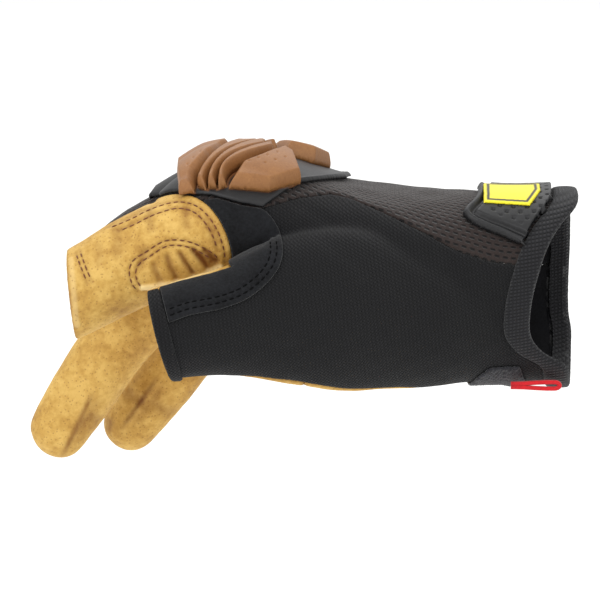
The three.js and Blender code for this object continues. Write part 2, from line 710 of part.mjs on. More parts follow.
// Cuff: a binding over the edge, a moulded tab on the back with a badge, a strip on the heel of the palm, and a
// pull loop.
const cuffBinding = handForm(bindingRise)
  .subtract(handForm(-wall - bindingInside, pastMouth))
  .intersect(pastCuff(bindingWidth))
  .subtract(pastCuff(0));
const tabTable = [
  { along: 0.244, lift: 1.2 },
  { along: 0.255, lift: 0.5 },
  { along: 0.302, lift: 0.4 },
  { along: 0.284, lift: 0.355 },
  { along: 0.185, lift: 0.275 },
  { along: 0.0925, lift: 0.21 },
  { along: 0, lift: 0.21 },
  { along: 0, lift: 1.2 },
];
const tabFarSide = 0.2 * handBreadth;
const wristTab = layer(gap, gap + tabThickness)
  .intersect(sidePrism(outlinePoints(tabTable, false), -farReach, tabFarSide))
  .subtract(pastCuff(bindingWidth + gap));
const badgeTable = [
  { along: 0.225, lift: 1 },
  { along: 0.24, lift: 0.44 },
  { along: 0.1, lift: 0.425 },
  { along: 0.065, lift: 0.5 },
  { along: 0.06, lift: 1 },
];
const badgeLow = gap + tabThickness + gap;
const badgeFarSide = 0.03 * handBreadth;
const wristBadge = layer(badgeLow, badgeLow + badgeThickness)
  .intersect(sidePrism(outlinePoints(badgeTable, false), -farReach, badgeFarSide))
  .subtract(pastCuff(bindingWidth + gap));
const heelStripTop = -0.3 * handDepth;
const heelStripTable = [
  { along: 0.14, side: -0.3 },
  { along: 0.26, side: -0.3 },
  { along: 0.26, side: 0.25 },
  { along: 0.14, side: 0.25 },
];
const heelStrip = layer(gap, gap + patchThickness)
  .intersect(planPrism(planPoints(heelStripTable, false), -farReach, heelStripTop))
  .subtract(pastCuff(bindingWidth + gap));

// The pull loop is a ribbon folded double, on edge against the lower side of the cuff.
const loopPlace = { along: 0.08, side: -0.283, lift: -0.4, lean: 12 };
const loopHeight = 3.6;
const loopShape = new THREE.Shape();
loopShape.moveTo(-loopLength / 2, -loopRibbon);
loopShape.lineTo(0, -loopHeight / 2);
loopShape.lineTo(loopLength / 2 - loopHeight / 2, -loopHeight / 2);
loopShape.absarc(loopLength / 2 - loopHeight / 2, 0, loopHeight / 2, -Math.PI / 2, Math.PI / 2, false);
loopShape.lineTo(0, loopHeight / 2);
loopShape.lineTo(-loopLength / 2, loopRibbon);
const loopHole = new THREE.Path();
const holeRadius = loopHeight / 2 - loopRibbon * 0.6;
loopHole.moveTo(-loopLength * 0.1, 0);
loopHole.lineTo(loopLength / 2 - loopHeight / 2, holeRadius);
loopHole.absarc(loopLength / 2 - loopHeight / 2, 0, holeRadius, Math.PI / 2, -Math.PI / 2, true);
loopShape.holes.push(loopHole);

const group = new THREE.Group();
export default group;

function geometryOf(solid) {
  const mesh = solid.getMesh();
  const geometry = new THREE.BufferGeometry();
  geometry.setAttribute('position', new THREE.BufferAttribute(new Float32Array(mesh.vertProperties), 3));
  geometry.setIndex(new THREE.BufferAttribute(new Uint32Array(mesh.triVerts), 1));
  return geometry;
}

// The largest piece of a solid once its close points are welded, without the crumbs that crossing cuts leave at a
// seam.
function mainPiece(solid) {
  const welded = mergeVertices(geometryOf(solid), 2e-3);
  const pieces = solidFrom(Array.from(welded.attributes.position.array), Array.from(welded.index.array)).decompose();
  return pieces.sort((a, b) => b.volume() - a.volume())[0];
}

// A solid as a mesh with its own name and material.
function addMesh(name, solid, look) {
  const geometry = geometryOf(mainPiece(solid));
  geometry.computeVertexNormals();
  const made = new THREE.Mesh(geometry, new THREE.MeshStandardMaterial(look));
  made.name = name;
  group.add(made);
}
const tanLeather = { color: 0xd0a050, roughness: 0.75, metalness: 0 };
const blackKnit = { color: 0x242426, roughness: 0.95, metalness: 0 };
const brownMesh = { color: 0x3b2e2b, roughness: 0.9, metalness: 0 };
addMesh('palm_leather', palmLeather, tanLeather);
addMesh('index_leather', indexLeather, { ...tanLeather, color: 0xd9b069 });
addMesh('thumb_leather', thumbLeather, { ...tanLeather, color: 0xe0c080 });
addMesh('back_mesh', backMesh, brownMesh);
addMesh('side_knit', sideKnit, blackKnit);
const blackRubber = { color: 0x3a3a3c, roughness: 0.6, metalness: 0 };
const brownRubber = { color: 0xa8713f, roughness: 0.55, metalness: 0 };
addMesh('knuckle_guard_base', guardBase, blackRubber);
for (const [name, solid] of Object.entries(guardPads)) addMesh(`guard_${name}`, solid, brownRubber);
addMesh('thumb_hem', thumbHem, blackKnit);
addMesh('web_patch', webPatch, { color: 0x2e2f33, roughness: 0.95, metalness: 0 });
addMesh('cuff_binding', cuffBinding, { color: 0x2b2b2e, roughness: 0.95, metalness: 0 });
addMesh('wrist_tab', wristTab, blackRubber);
addMesh('wrist_badge', wristBadge, { color: 0xefe62b, roughness: 0.5, metalness: 0 });
addMesh('heel_strip', heelStrip, { color: 0x303034, roughness: 1, metalness: 0 });
const loopGeometry = new THREE.ExtrudeGeometry(loopShape, {
  depth: loopRibbonWidth,
  bevelEnabled: false,
  curveSegments: 6,
});
loopGeometry.translate(0, 0, -loopRibbonWidth / 2);
loopGeometry.rotateX(Math.PI / 2);
const pullLoop = new THREE.Mesh(loopGeometry, new THREE.MeshStandardMaterial({ color: 0xc8141e, roughness: 0.7 }));
pullLoop.name = 'pull_loop';
pullLoop.position.set(-loopPlace.along * handLength, loopPlace.side * handBreadth, loopPlace.lift * handDepth);
pullLoop.rotation.x = radians(-loopPlace.lean);
group.add(pullLoop);
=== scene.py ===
import math
import bpy
import bmesh
import numpy as np
from mathutils import Euler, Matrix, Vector
from mathutils.bvhtree import BVHTree
from mathutils.kdtree import KDTree


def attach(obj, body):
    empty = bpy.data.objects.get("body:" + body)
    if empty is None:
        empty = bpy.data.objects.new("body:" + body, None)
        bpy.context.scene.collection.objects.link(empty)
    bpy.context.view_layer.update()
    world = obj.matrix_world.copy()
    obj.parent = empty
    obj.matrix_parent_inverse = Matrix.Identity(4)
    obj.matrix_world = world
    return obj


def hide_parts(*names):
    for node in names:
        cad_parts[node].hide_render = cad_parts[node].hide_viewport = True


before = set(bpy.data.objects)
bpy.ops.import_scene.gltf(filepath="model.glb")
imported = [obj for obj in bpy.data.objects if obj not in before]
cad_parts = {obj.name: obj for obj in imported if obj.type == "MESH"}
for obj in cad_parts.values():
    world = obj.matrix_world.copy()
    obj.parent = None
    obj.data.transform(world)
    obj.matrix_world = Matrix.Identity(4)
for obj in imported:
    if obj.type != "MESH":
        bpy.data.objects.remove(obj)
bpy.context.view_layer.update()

mm = 0.001
tilt = math.radians(12)      # the picture looks along +Y, this far down
tiltCos, tiltSin = math.cos(tilt), math.sin(tilt)
pixel = 0.33                 # mm of glove in a pixel of the picture
wristPixel = (560, 290)      # where the middle of the wrist opening falls

# camera, floor and light

studio = {
    "floorLevel": -0.19, "floorSize": 6.0, "floorColour": "#FBFBFA",
    "distance": 2.4, "middle": (-85.8, -3.3), "width": 198.0,
    "world": 0.92,
    "lights": (  # place, size, watts
        ((-0.75, -0.85, 0.95), 1.1, 10.0),
        ((0.75, -0.8, 0.85), 1.0, 3.5),
        ((0.0, 0.9, 1.0), 1.2, 6.0),
    ),
}


def linear(colour):
    parts = [int(colour[k:k + 2], 16) / 255 for k in (1, 3, 5)]
    return tuple(p / 12.92 if p <= 0.04045 else ((p + 0.055) / 1.055) ** 2.4 for p in parts) + (1.0,)


def setInputs(tree, node, inputs):
    for name, value in inputs.items():
        if isinstance(value, bpy.types.NodeSocket):
            tree.links.new(value, node.inputs[name])
        else:
            node.inputs[name].default_value = value


def add(tree, kind, settings=None, inputs=None):
    made = tree.nodes.new(kind)
    for name, value in (settings or {}).items():
        setattr(made, name, value)
    setInputs(tree, made, inputs or {})
    return made


def newMaterial(name):
    made = bpy.data.materials.new(name)
    made.use_nodes = True
    made.node_tree.nodes.clear()
    tree = made.node_tree
    shader = add(tree, "ShaderNodeBsdfPrincipled")
    add(tree, "ShaderNodeOutputMaterial", {}, {"Surface": shader.outputs[0]})
    place = add(tree, "ShaderNodeTexCoord").outputs["Object"]
    return made, tree, shader, place


def setUpStudio():
    camera = bpy.data.objects.new("camera", bpy.data.cameras.new("camera"))
    bpy.context.collection.objects.link(camera)
    x, lift = studio["middle"]
    target = Vector((x, lift * tiltSin, lift * tiltCos)) * mm
    camera.location = target + studio["distance"] * Vector((0, -tiltCos, tiltSin))
    camera.rotation_euler = (math.radians(90) - tilt, 0, 0)
    camera.data.lens = camera.data.sensor_width * studio["distance"] / (studio["width"] * mm)
    camera.data.clip_end = 50
    bpy.context.scene.camera = camera
    world = bpy.data.worlds.new("paleStudio")
    world.use_nodes = True
    world.node_tree.nodes["Background"].inputs[0].default_value = (1, 1, 1, 1)
    world.node_tree.nodes["Background"].inputs[1].default_value = studio["world"]
    bpy.context.scene.world = world
    bpy.context.scene.view_settings.view_transform = "Standard"
    for number, (place, size, watts) in enumerate(studio["lights"]):
        lamp = bpy.data.lights.new(f"softbox{number}", "AREA")
        lamp.size = size
        lamp.energy = watts
        box = bpy.data.objects.new(f"softbox{number}", lamp)
        box.location = target + Vector(place)
        box.rotation_euler = (target - box.location).to_track_quat("-Z", "Y").to_euler()
        bpy.context.collection.objects.link(box)
    bm = bmesh.new()
    bmesh.ops.create_grid(bm, x_segments=2, y_segments=2, size=studio["floorSize"])
    bmesh.ops.translate(bm, verts=bm.verts, vec=(0, 0, studio["floorLevel"]))
    mesh = bpy.data.meshes.new("floor")
    bm.to_mesh(mesh)
    floor = bpy.data.objects.new("floor", mesh)
    bpy.context.collection.objects.link(floor)
    # matt paper, which takes the soft shade under the glove and no gloss
    paper, tree, shader, _ = newMaterial("palePaper")
    setInputs(tree, shader, {"Base Color": linear(studio["floorColour"]), "Roughness": 0.9})
    floor.data.materials.append(paper)


setUpStudio()
print("studio ready")

# the form of the glove: lofts through rows of x, y, z, wide, thick, pitch, yaw, roll, square

sizes = {
    "length": 107, "breadth": 92, "depth": 66, "thumb": 131, "fingerBreadth": 24, "fingerDepth": 27,
    "pastEnd": 9, "palmSteps": 56, "fingerSteps": 36, "rowSteps": 7, "voxel": 0.9, "smoothing": 10,
    "calming": 30,
}
thumbZone = {"y": -10, "x": -40, "elsewhere": -20}
# along, side, lift, wide, thick, pitch, yaw, roll, square: lengths are shares of length, breadth and depth
palmTable = [
    (-0.15, 0.02, 0.01, 0.39, 0.48, 0, 0, 0, 2.3), (0.02, 0.02, 0.01, 0.37, 0.47, 0, 0, 0, 2.3),
    (0.17, 0.02, 0.01, 0.36, 0.465, 0, 0, 0, 2.3), (0.33, 0.03, 0.07, 0.39, 0.42, 0, 0, 2, 2.5),
    (0.51, 0.03, 0.165, 0.43, 0.345, 0, 3, 5, 2.7), (0.7, 0.02, 0.265, 0.465, 0.3, -2, 10, 10, 2.7),
    (0.86, 0.02, 0.36, 0.485, 0.285, 4, 16, 14, 2.5), (0.99, 0.02, 0.335, 0.475, 0.26, 26, 19, 16, 2.4),
    (1.1, 0.02, 0.18, 0.45, 0.19, 42, 20, 17, 2.3),
]
thumbTable = [
    (0.1, -0.1, -0.12, 0.2, 0.3, 0, 0, 0, 2), (0.35, -0.29, -0.05, 0.215, 0.35, 0, 20, 0, 2),
    (0.51, -0.39, 0.02, 0.22, 0.41, 0, 20, 0, 2.1), (0.69, -0.5, 0.045, 0.18, 0.365, 2, 14, 0, 2),
    (0.84, -0.59, 0.01, 0.15, 0.265, 9, 8, 0, 2), (1, -0.63, -0.035, 0.138, 0.222, 15, 3, 0, 2),
]
fingerTable = {  # knuckle as shares, then (share of length, drop) of each bone, and half girths
    "index": {"length": 61, "open": True, "knuckle": (0.97, -0.35, 0.435), "splay": 1.5, "back": 0.42,
              "mouth": 6, "bones": ((0.52, 18), (0.48, 27)),
              "girths": ((0.5, 0.52), (0.5, 0.53), (0.5, 0.52))},
    "middle": {"length": 56, "open": True, "knuckle": (0.985, -0.1, 0.49), "splay": 0, "back": 0.45,
               "mouth": 16, "bones": ((0.52, 25), (0.48, 36)),
               "girths": ((0.48, 0.5), (0.47, 0.49), (0.46, 0.47))},
    "ring": {"length": 107, "open": False, "knuckle": (0.95, 0.15, 0.33), "splay": -1, "back": 0.3,
             "bones": ((0.5, 42), (0.28, 55), (0.22, 58)),
             "girths": ((0.47, 0.48), (0.46, 0.44), (0.44, 0.41), (0.4, 0.36))},
    "little": {"length": 92, "open": False, "knuckle": (0.84, 0.39, 0.14), "splay": -2.5, "back": 0.3,
               "bones": ((0.48, 48), (0.28, 52), (0.24, 54)),
               "girths": ((0.43, 0.44), (0.42, 0.41), (0.4, 0.38), (0.37, 0.34))},
}


def between(u, a, b, slopeA, slopeB, span=1):
    # a smooth run from a to b that leaves and arrives on the given slopes
    return ((2 * u**3 - 3 * u**2 + 1) * a + (u**3 - 2 * u**2 + u) * span * slopeA
            + (3 * u**2 - 2 * u**3) * b + (u**3 - u**2) * span * slopeB)


def smoothRows(rows, stepsEach):
    rows = np.array(rows, float)
    last = len(rows) - 1
    place = np.concatenate([[0], np.cumsum(np.linalg.norm(np.diff(rows[:, :3], axis=0), axis=1))])
    slopes = []
    for k in range(last + 1):
        before, after = max(k - 1, 0), min(k + 1, last)
        slopes.append((rows[after] - rows[before]) / (place[after] - place[before]))
    out = [between(u, rows[i], rows[i + 1], slopes[i], slopes[i + 1], place[i + 1] - place[i])
           for i in range(last) for u in np.arange(stepsEach) / stepsEach]
    return np.array(out + [rows[-1]])


def shareRows(table, length):
    breadth, depth = sizes["breadth"], sizes["depth"]
    return np.array(table) * np.array([-length, breadth, depth, breadth, depth, 1, 1, 1, 1])


def fingerRows(finger):
    girths = np.array(finger["girths"]) * (sizes["fingerBreadth"], sizes["fingerDepth"])
    knuckle = np.array(finger["knuckle"]) * (-sizes["length"], sizes["breadth"], sizes["depth"])
    inside = finger["back"] * finger["length"]
    drops = [drop for _, drop in finger["bones"]]
    ends = (finger["splay"], 0, 2.15)      # yaw, roll, square
    rows = [(knuckle[0] + inside, knuckle[1], knuckle[2] - 0.25 * inside, *(0.7 * girths[0]), -10, *ends),
            (*knuckle, *girths[0], 0.6 * drops[0], *ends)]
    for k, (share, drop) in enumerate(finger["bones"]):
        tip = k == len(drops) - 1 and not finger["open"]
        run = share * finger["length"] - (girths[k + 1][1] if tip else 0)
        x, y, z = rows[-1][:3]
        down, aside = math.radians(drop), math.radians(finger["splay"])
        rows.append((x - run * math.cos(down), y - run * math.sin(aside), z - run * math.sin(down),
                     *girths[k + 1],
                     (drop + drops[min(k + 1, len(drops) - 1)]) / 2, *ends))
    if finger["open"]:
        rows[-1] = (*rows[-1][:5], finger["mouth"], *ends)
    return smoothRows(rows, sizes["rowSteps"])


def forward(row, distance):
    out = row.copy()
    out[0] -= distance * math.cos(math.radians(row[5]))
    out[2] -= distance * math.sin(math.radians(row[5]))
    return out


def turnOf(row):
    return Euler([math.radians(-angle) for angle in (row[7], row[5], row[6])], "XYZ").to_matrix()


def powered(value, power):
    return math.copysign(abs(value) ** power, value)


def addRing(bm, steps, placed):
    # a ring of points, each put where placed says for its x and y on the unit circle
    ring = bmesh.ops.create_circle(bm, segments=steps, radius=1)["verts"]
    for v in ring:
        v.co = placed(v.co.x, v.co.y)
    return list({e for v in ring for e in v.link_edges})


def sectionRing(bm, row, steps):
    turn, centre, power = turnOf(row), Vector(row[:3]), 2 / row[8]

    def placed(x, y):
        return turn @ Vector((0, row[3] * powered(x, power), row[4] * powered(y, power))) + centre
    return addRing(bm, steps, placed)


def skinOver(bm, rings):
    for near, far in zip(rings, rings[1:]):
        bmesh.ops.bridge_loops(bm, edges=near + far)
    for end in (rings[0], rings[-1]):
        bmesh.ops.edgeloop_fill(bm, edges=end)


def loft(bm, rows, steps):
    skinOver(bm, [sectionRing(bm, row, steps) for row in rows])


palmRows = smoothRows(shareRows(palmTable, sizes["length"]), sizes["rowSteps"])
thumbRows = smoothRows(shareRows(thumbTable, sizes["thumb"]), sizes["rowSteps"])
rowsOf = {name: fingerRows(finger) for name, finger in fingerTable.items()}


def fingerLoft(bm, name):
    rows = rowsOf[name]
    end = rows[-1]
    if fingerTable[name]["open"]:
        loft(bm, [*rows, forward(end, sizes["pastEnd"])], sizes["fingerSteps"])
        return
    tip = []
    for angle in (14, 28, 42, 55, 67, 78, 86):
        row = forward(end, end[4] * math.sin(math.radians(angle)))
        row[3:5] *= math.cos(math.radians(angle))
        tip.append(row)
    loft(bm, [*rows, *tip], sizes["fingerSteps"])


def soften(bm, rounds, verts=None):
    for _ in range(rounds):
        bmesh.ops.smooth_vert(bm, verts=bm.verts if verts is None else verts, factor=0.5,
                              use_axis_x=True, use_axis_y=True, use_axis_z=True)


def buildSkin():
    thumb, rest = bmesh.new(), bmesh.new()
    loft(thumb, [*thumbRows, forward(thumbRows[-1], sizes["pastEnd"])], sizes["palmSteps"])
    loft(rest, palmRows, sizes["palmSteps"])
    for name in fingerTable:
        fingerLoft(rest, name)
    trees = [BVHTree.FromBMesh(bm) for bm in (thumb, rest)]
    whole = bmesh.new()
    for part in (thumb, rest):
        mesh = bpy.data.meshes.new("part")
        part.to_mesh(mesh)
        whole.from_mesh(mesh)
    bmesh.ops.recalc_face_normals(whole, faces=whole.faces)
    mesh = bpy.data.meshes.new("form")
    whole.to_mesh(mesh)
    form = bpy.data.objects.new("form", mesh)
    bpy.context.collection.objects.link(form)
    merge = form.modifiers.new("merge", "REMESH")
    merge.mode = "VOXEL"
    merge.voxel_size = sizes["voxel"]
    depsgraph = bpy.context.evaluated_depsgraph_get()
    merged = bpy.data.meshes.new_from_object(form.evaluated_get(depsgraph))
    bpy.data.objects.remove(form)
    skin = bmesh.new()
    skin.from_mesh(merged)
    soften(skin, sizes["smoothing"])
    return skin, trees


def places(bm):
    return np.array([v.co[:] for v in bm.verts])


def layerOf(bm, name):
    return bm.verts.layers.float.get(name) or bm.verts.layers.float.new(name)


def readLayer(bm, name):
    layer = layerOf(bm, name)
    return np.array([v[layer] for v in bm.verts])


def storeLayer(bm, name, values):
    layer = layerOf(bm, name)
    for v, value in zip(bm.verts, values):
        v[layer] = value


skin, formTrees = buildSkin()
skinPlaces = places(skin)
print("skin", len(skin.verts), "points")

# thumbPart is positive on the thumb and negative on the rest, and nil in the crease between them
thumbPart = layerOf(skin, "thumbPart")
thumbTree, restTree = formTrees
for v in skin.verts:
    if v.co.y < thumbZone["y"] and v.co.x < thumbZone["x"]:
        v[thumbPart] = restTree.find_nearest(v.co)[3] - thumbTree.find_nearest(v.co)[3]
    else:
        v[thumbPart] = thumbZone["elsewhere"]

# lean is the direction in which a layer is laid: the normal of a calmer copy
leanNames = ("leanX", "leanY", "leanZ")
calm = skin.copy()
soften(calm, sizes["calming"])
calm.normal_update()
for name, values in zip(leanNames, zip(*[v.normal for v in calm.verts])):
    storeLayer(skin, name, values)
calm.free()


def leans(bm):
    out = np.stack([readLayer(bm, name) for name in leanNames], axis=1)
    return out / np.maximum(np.linalg.norm(out, axis=1, keepdims=True), 1e-6)


# outlines and regions: negative inside, nil on the edge

def roundOutline(points, steps=10):
    points = np.array(points, float)
    count = len(points)
    out = []
    for i in range(count):
        p = [points[(i + k - 1) % count] for k in range(4)]
        gaps = [max(np.linalg.norm(b - a) ** 0.5, 1e-4) for a, b in zip(p, p[1:])]
        starts = [(p[k + 1] - p[k]) / gaps[k] - (p[k + 2] - p[k]) / (gaps[k] + gaps[k + 1])
                  + (p[k + 2] - p[k + 1]) / gaps[k + 1] for k in (0, 1)]
        a, b = starts[0] * gaps[1], starts[1] * gaps[1]
        out += [between(u, p[1], p[2], a, b) for u in np.arange(steps) / steps]
    return np.array(out)


def sideOutline(table, rounded=True, length=sizes["length"]):
    points = np.array(table) * (-length, sizes["depth"])
    return roundOutline(points) if rounded else points


def planOutline(table, rounded=True, length=sizes["length"]):
    points = np.array(table) * (-length, sizes["breadth"])
    return roundOutline(points) if rounded else points


def fieldOf(points, outline):
    best = np.full(len(points), 1e9)
    inside = np.zeros(len(points), bool)
    for a, b in zip(outline, np.roll(outline, -1, axis=0)):
        run = b - a
        along = np.clip(((points - a) @ run) / max(run @ run, 1e-9), 0, 1)
        best = np.minimum(best, np.linalg.norm(points - a - along[:, None] * run, axis=1))
        rises = (a[1] > points[:, 1]) != (b[1] > points[:, 1])
        if abs(run[1]) > 1e-9:
            inside ^= rises & (points[:, 0] < a[0] + (points[:, 1] - a[1]) * run[0] / run[1])
    return np.where(inside, -best, best)


def viewOf(p):
    return np.stack([p[:, 0], p[:, 2] * tiltCos + p[:, 1] * tiltSin], axis=1)


def either(*fields):
    return np.minimum.reduce(fields)


def both(*fields):
    return np.maximum.reduce(fields)


indexTable = [(1.62, 0.24), (1.39, 0.335), (1.32, 0.38), (1.265, 0.425), (1.175, 0.465), (1.11, 0.445),
              (1.064, 0.385), (1.024, 0.275), (1.008, 0.14), (1.03, 0.06), (1.27, -0.2), (1.62, -0.4)]
indexBackTable = [(1.62, 0.24), (1.39, 0.33), (1.3, 0.38), (1.175, 0.44), (1, 0.44), (1, 1), (1.62, 1)]
webTable = [(1.01, 0.12), (1.1, 0.4), (1.1, 0.7), (0.1, 0.7), (0.1, -0.2), (0.43, -0.2), (0.68, -0.1),
            (0.86, 0.025), (0.99, 0.1)]
backNearTable = [(-0.3, 0.03), (0.09, 0.11), (0.22, 0.14), (0.31, 0.185), (0.43, 0.29), (0.555, 0.39),
                 (0.65, 0.455), (0.71, 0.475), (0.8, 0.46), (0.92, 0.4), (1.03, 0.4), (1.03, 1.2),
                 (-0.3, 1.2)]
backFarTable = [(-0.3, 0.12), (0.3, 0.14), (0.7, 0.16), (0.92, 0.12), (1.03, 0.3), (1.03, 1.2), (-0.3, 1.2)]
palmSeamTable = [(-0.3, -0.1), (0.2, -0.16), (0.38, -0.27), (0.56, -0.41), (0.75, -0.53), (0.93, -0.61),
                 (1.5, -0.68)]
thumbPlanTable = [(0.645, -0.49), (1.225, -0.5), (1.225, -1.2), (0.645, -1.2)]
cuffEdgeTable = [(-1, 0.015, 0.05), (-0.35, 0.015, 0.05), (-0.29, -0.005, 0.05), (-0.23, -0.07, 0.045),
                 (-0.14, -0.11, 0.04), (0, -0.11, 0.04), (0.16, -0.09, 0.045), (0.31, -0.06, 0.05),
                 (0.4, -0.02, 0.055), (0.47, 0.04, 0.06), (0.52, 0.06, 0.06), (1, 0.06, 0.06)]
guardNearTable = [(1.26, 0.45), (1.17, 0.462), (1.07, 0.455), (0.985, 0.42), (0.916, 0.4), (0.85, 0.475),
                  (0.8, 0.515), (0.71, 0.535), (0.66, 0.545), (0.66, 1.2), (1.19, 1.2), (1.19, 0.6)]
guardFarTable = [(1.19, 0), (1.14, 0.13), (1.06, 0.28), (0.98, 0.39), (0.88, 0.44), (0.77, 0.43),
                 (0.69, 0.35), (0.645, 0.2), (0.66, 0)]
hemTable = [(1.062, 0.08), (1.011, 0.08), (0.937, -0.48), (0.988, -0.5)]
saddleTable = [(0.916, 0.4), (0.875, 0.33), (0.853, 0.22), (0.86, 0.13), (0.89, 0.05), (0.956, -0.04),
               (1.033, -0.09), (1.125, -0.12), (1.24, -0.16), (1.3, 0.08), (1.1, 0.44)]
tabTable = [(0.244, 1.2), (0.255, 0.5), (0.302, 0.4), (0.284, 0.355), (0.185, 0.275), (0.0925, 0.21),
            (0, 0.21), (0, 1.2)]
badgeTable = [(0.225, 1), (0.24, 0.44), (0.1, 0.425), (0.065, 0.5), (0.06, 1)]
heelTable = [(0.14, -0.3), (0.26, -0.3), (0.26, 0.25), (0.14, 0.25)]
indexFarSide = -0.235 * sizes["breadth"]
indexEdge = sideOutline(indexTable)
saddleEdge = sideOutline(saddleTable)
tabEdge = sideOutline(tabTable)


strip = {"half": 0.62, "above": 0.15, "reach": 1.7, "outside": 30.0}
mouthSlabs = {"index": (-60, -21, -20), "middle": (-21, 3.6, -14)}      # from y, to y, above z


def stripField(p, name):
    # the strip along a finger's back, from the knuckle to a closed finger's first joint or past the mouth
    rows = rowsOf[name]
    start = sizes["rowSteps"] // 2
    stop = len(rows) if fingerTable[name]["open"] else 2 * sizes["rowSteps"] + 1
    best = np.full(len(p), 1e9)
    out = np.full(len(p), strip["outside"])
    for k in range(start, stop):
        row = rows[k]
        turn = np.array(turnOf(row))
        local = (p - row[:3]) @ turn
        radial = np.hypot(local[:, 1], local[:, 2])
        score = np.abs(local[:, 0]) + 0.2 * radial
        value = both(np.abs(local[:, 1]) - strip["half"] * row[3], strip["above"] * row[4] - local[:, 2],
                     radial - strip["reach"] * max(row[3], row[4]))
        if k == stop - 1 and not fingerTable[name]["open"]:
            value = both(value, -local[:, 0])
        better = score < best
        best[better] = score[better]
        out[better] = value[better]
    return out


def seamSide(p):
    x, y = np.array(palmSeamTable).T
    return p[:, 1] - np.interp(-p[:, 0] / sizes["length"], x, y * sizes["breadth"])


def cuffField(p):
    # how far past the cuff's edge a point is
    rows = smoothRows([(0, 0, *row, 0, 0, 0, 0) for row in cuffEdgeTable], 6)
    lift, near, far = rows.T[2:5]
    level = p[:, 2] / sizes["depth"]
    nearOut, farOut = np.interp(level, lift, near), np.interp(level, lift, far)
    across = np.clip(p[:, 1] / (0.4 * sizes["breadth"]), -1.3, 1.3)
    return p[:, 0] - sizes["length"] * (nearOut + (farOut - nearOut) * (across + 1) / 2)


def mouthField(p, thumbness):
    # past an open end, within the slab of space that holds that finger alone
    out = np.full(len(p), -strip["outside"])
    ends = [(thumbRows[-1], thumbness + 0.2)]
    for name, (start, stop, low) in mouthSlabs.items():
        ends.append((rowsOf[name][-1], either(p[:, 1] - start, stop - p[:, 1], p[:, 2] - low)))
    for row, slab in ends:
        past = -((p - row[:3]) @ np.array(turnOf(row)))[:, 0]
        out = both(out, either(past, slab))
    return out


def regions(p, thumbness):
    view, plan = viewOf(p), p[:, :2]
    y, z = p[:, 1], p[:, 2]
    depth, breadth = sizes["depth"], sizes["breadth"]
    index = both(fieldOf(view, indexEdge), y - indexFarSide, thumbness)
    back = either(both(fieldOf(view, sideOutline(backNearTable, False)), y),
                  both(fieldOf(view, sideOutline(backFarTable, False)), -y),
                  stripField(p, "middle"), stripField(p, "ring"), stripField(p, "little"),
                  both(fieldOf(view, sideOutline(indexBackTable, False)), y - indexFarSide))
    web = fieldOf(view, sideOutline(webTable, False))
    knit = either(seamSide(p), both(web, y + 0.33 * breadth), both(web, y + 0.2 * breadth, 0.3 * depth - z))
    thumb = both(fieldOf(plan, planOutline(thumbPlanTable, False, sizes["thumb"])), z - 0.2 * depth)
    hem = both(fieldOf(view, sideOutline(hemTable, False, sizes["thumb"])), y + 0.49 * breadth, seamSide(p))
    guard = either(both(fieldOf(view, sideOutline(guardNearTable, False)), y),
                   both(fieldOf(plan, planOutline(guardFarTable, False)), 0.28 * depth - z, -y))
    return {"index": index, "back": back, "knit": knit, "thumb": thumb, "hem": hem, "guard": guard,
            "cuff": cuffField(p), "mouth": mouthField(p, thumbness), "view": view, "plan": plan}


skinLeans = leans(skin)
skinRegions = regions(skinPlaces, readLayer(skin, "thumbPart"))
print("regions ready")


def cutAlong(bm, values, snap=0.07):
    level = layerOf(bm, "level")
    for v, value in zip(bm.verts, values):
        v[level] = 0 if abs(value) < snap else value
    for edge in [e for e in bm.edges if e.verts[0][level] * e.verts[1][level] < 0]:
        a, b = edge.verts
        made = bmesh.utils.edge_split(edge, a, a[level] / (a[level] - b[level]))[1]
        made[level] = 0
    bmesh.ops.connect_verts(bm, verts=[v for v in bm.verts if v[level] == 0])
    outside = [f for f in bm.faces if sum(v[level] for v in f.verts) > 0]
    bmesh.ops.delete(bm, geom=outside, context="FACES")


def keepLargest(bm, least=0.04):
    # drops crumbs: islands with fewer than this share of the faces
    left = set(bm.faces)
    crumbs, total = [], len(bm.faces)
    while left:
        stack, island = [left.pop()], []
        while stack:
            face = stack.pop()
            island.append(face)
            for edge in face.edges:
                for other in edge.link_faces:
                    if other in left:
                        left.discard(other)
                        stack.append(other)
        if len(island) < least * total:
            crumbs += island
    bmesh.ops.delete(bm, geom=crumbs, context="FACES")


def patchOf(field, margin=2.4, cuts=0):
    # a copy of the skin round a region, finer where asked
    bm = skin.copy()
    bm.verts.ensure_lookup_table()
    bmesh.ops.delete(bm, geom=[bm.verts[k] for k in np.nonzero(field > margin)[0]], context="VERTS")
    if cuts:
        bmesh.ops.subdivide_edges(bm, edges=bm.edges, cuts=cuts, use_grid_fill=True)
        soften(bm, 3, [v for v in bm.verts if not v.is_boundary])
    return bm


def edgeDistance(bm, keep=None):
    # distance of every point from the piece's border
    border = [v.co.copy() for v in bm.verts if v.is_boundary and (keep is None or keep(v.co))]
    tree = KDTree(len(border))
    for k, place in enumerate(border):
        tree.insert(place, k)
    tree.balance()
    return np.array([tree.find(v.co)[2] for v in bm.verts])


def quarterRound(distance, radius):
    s = np.clip(1 - distance / radius, 0, 1)
    return np.sqrt(np.maximum(1 - s * s, 0))


def moveTo(bm, points):
    for v, point in zip(bm.verts, points):
        v.co = point
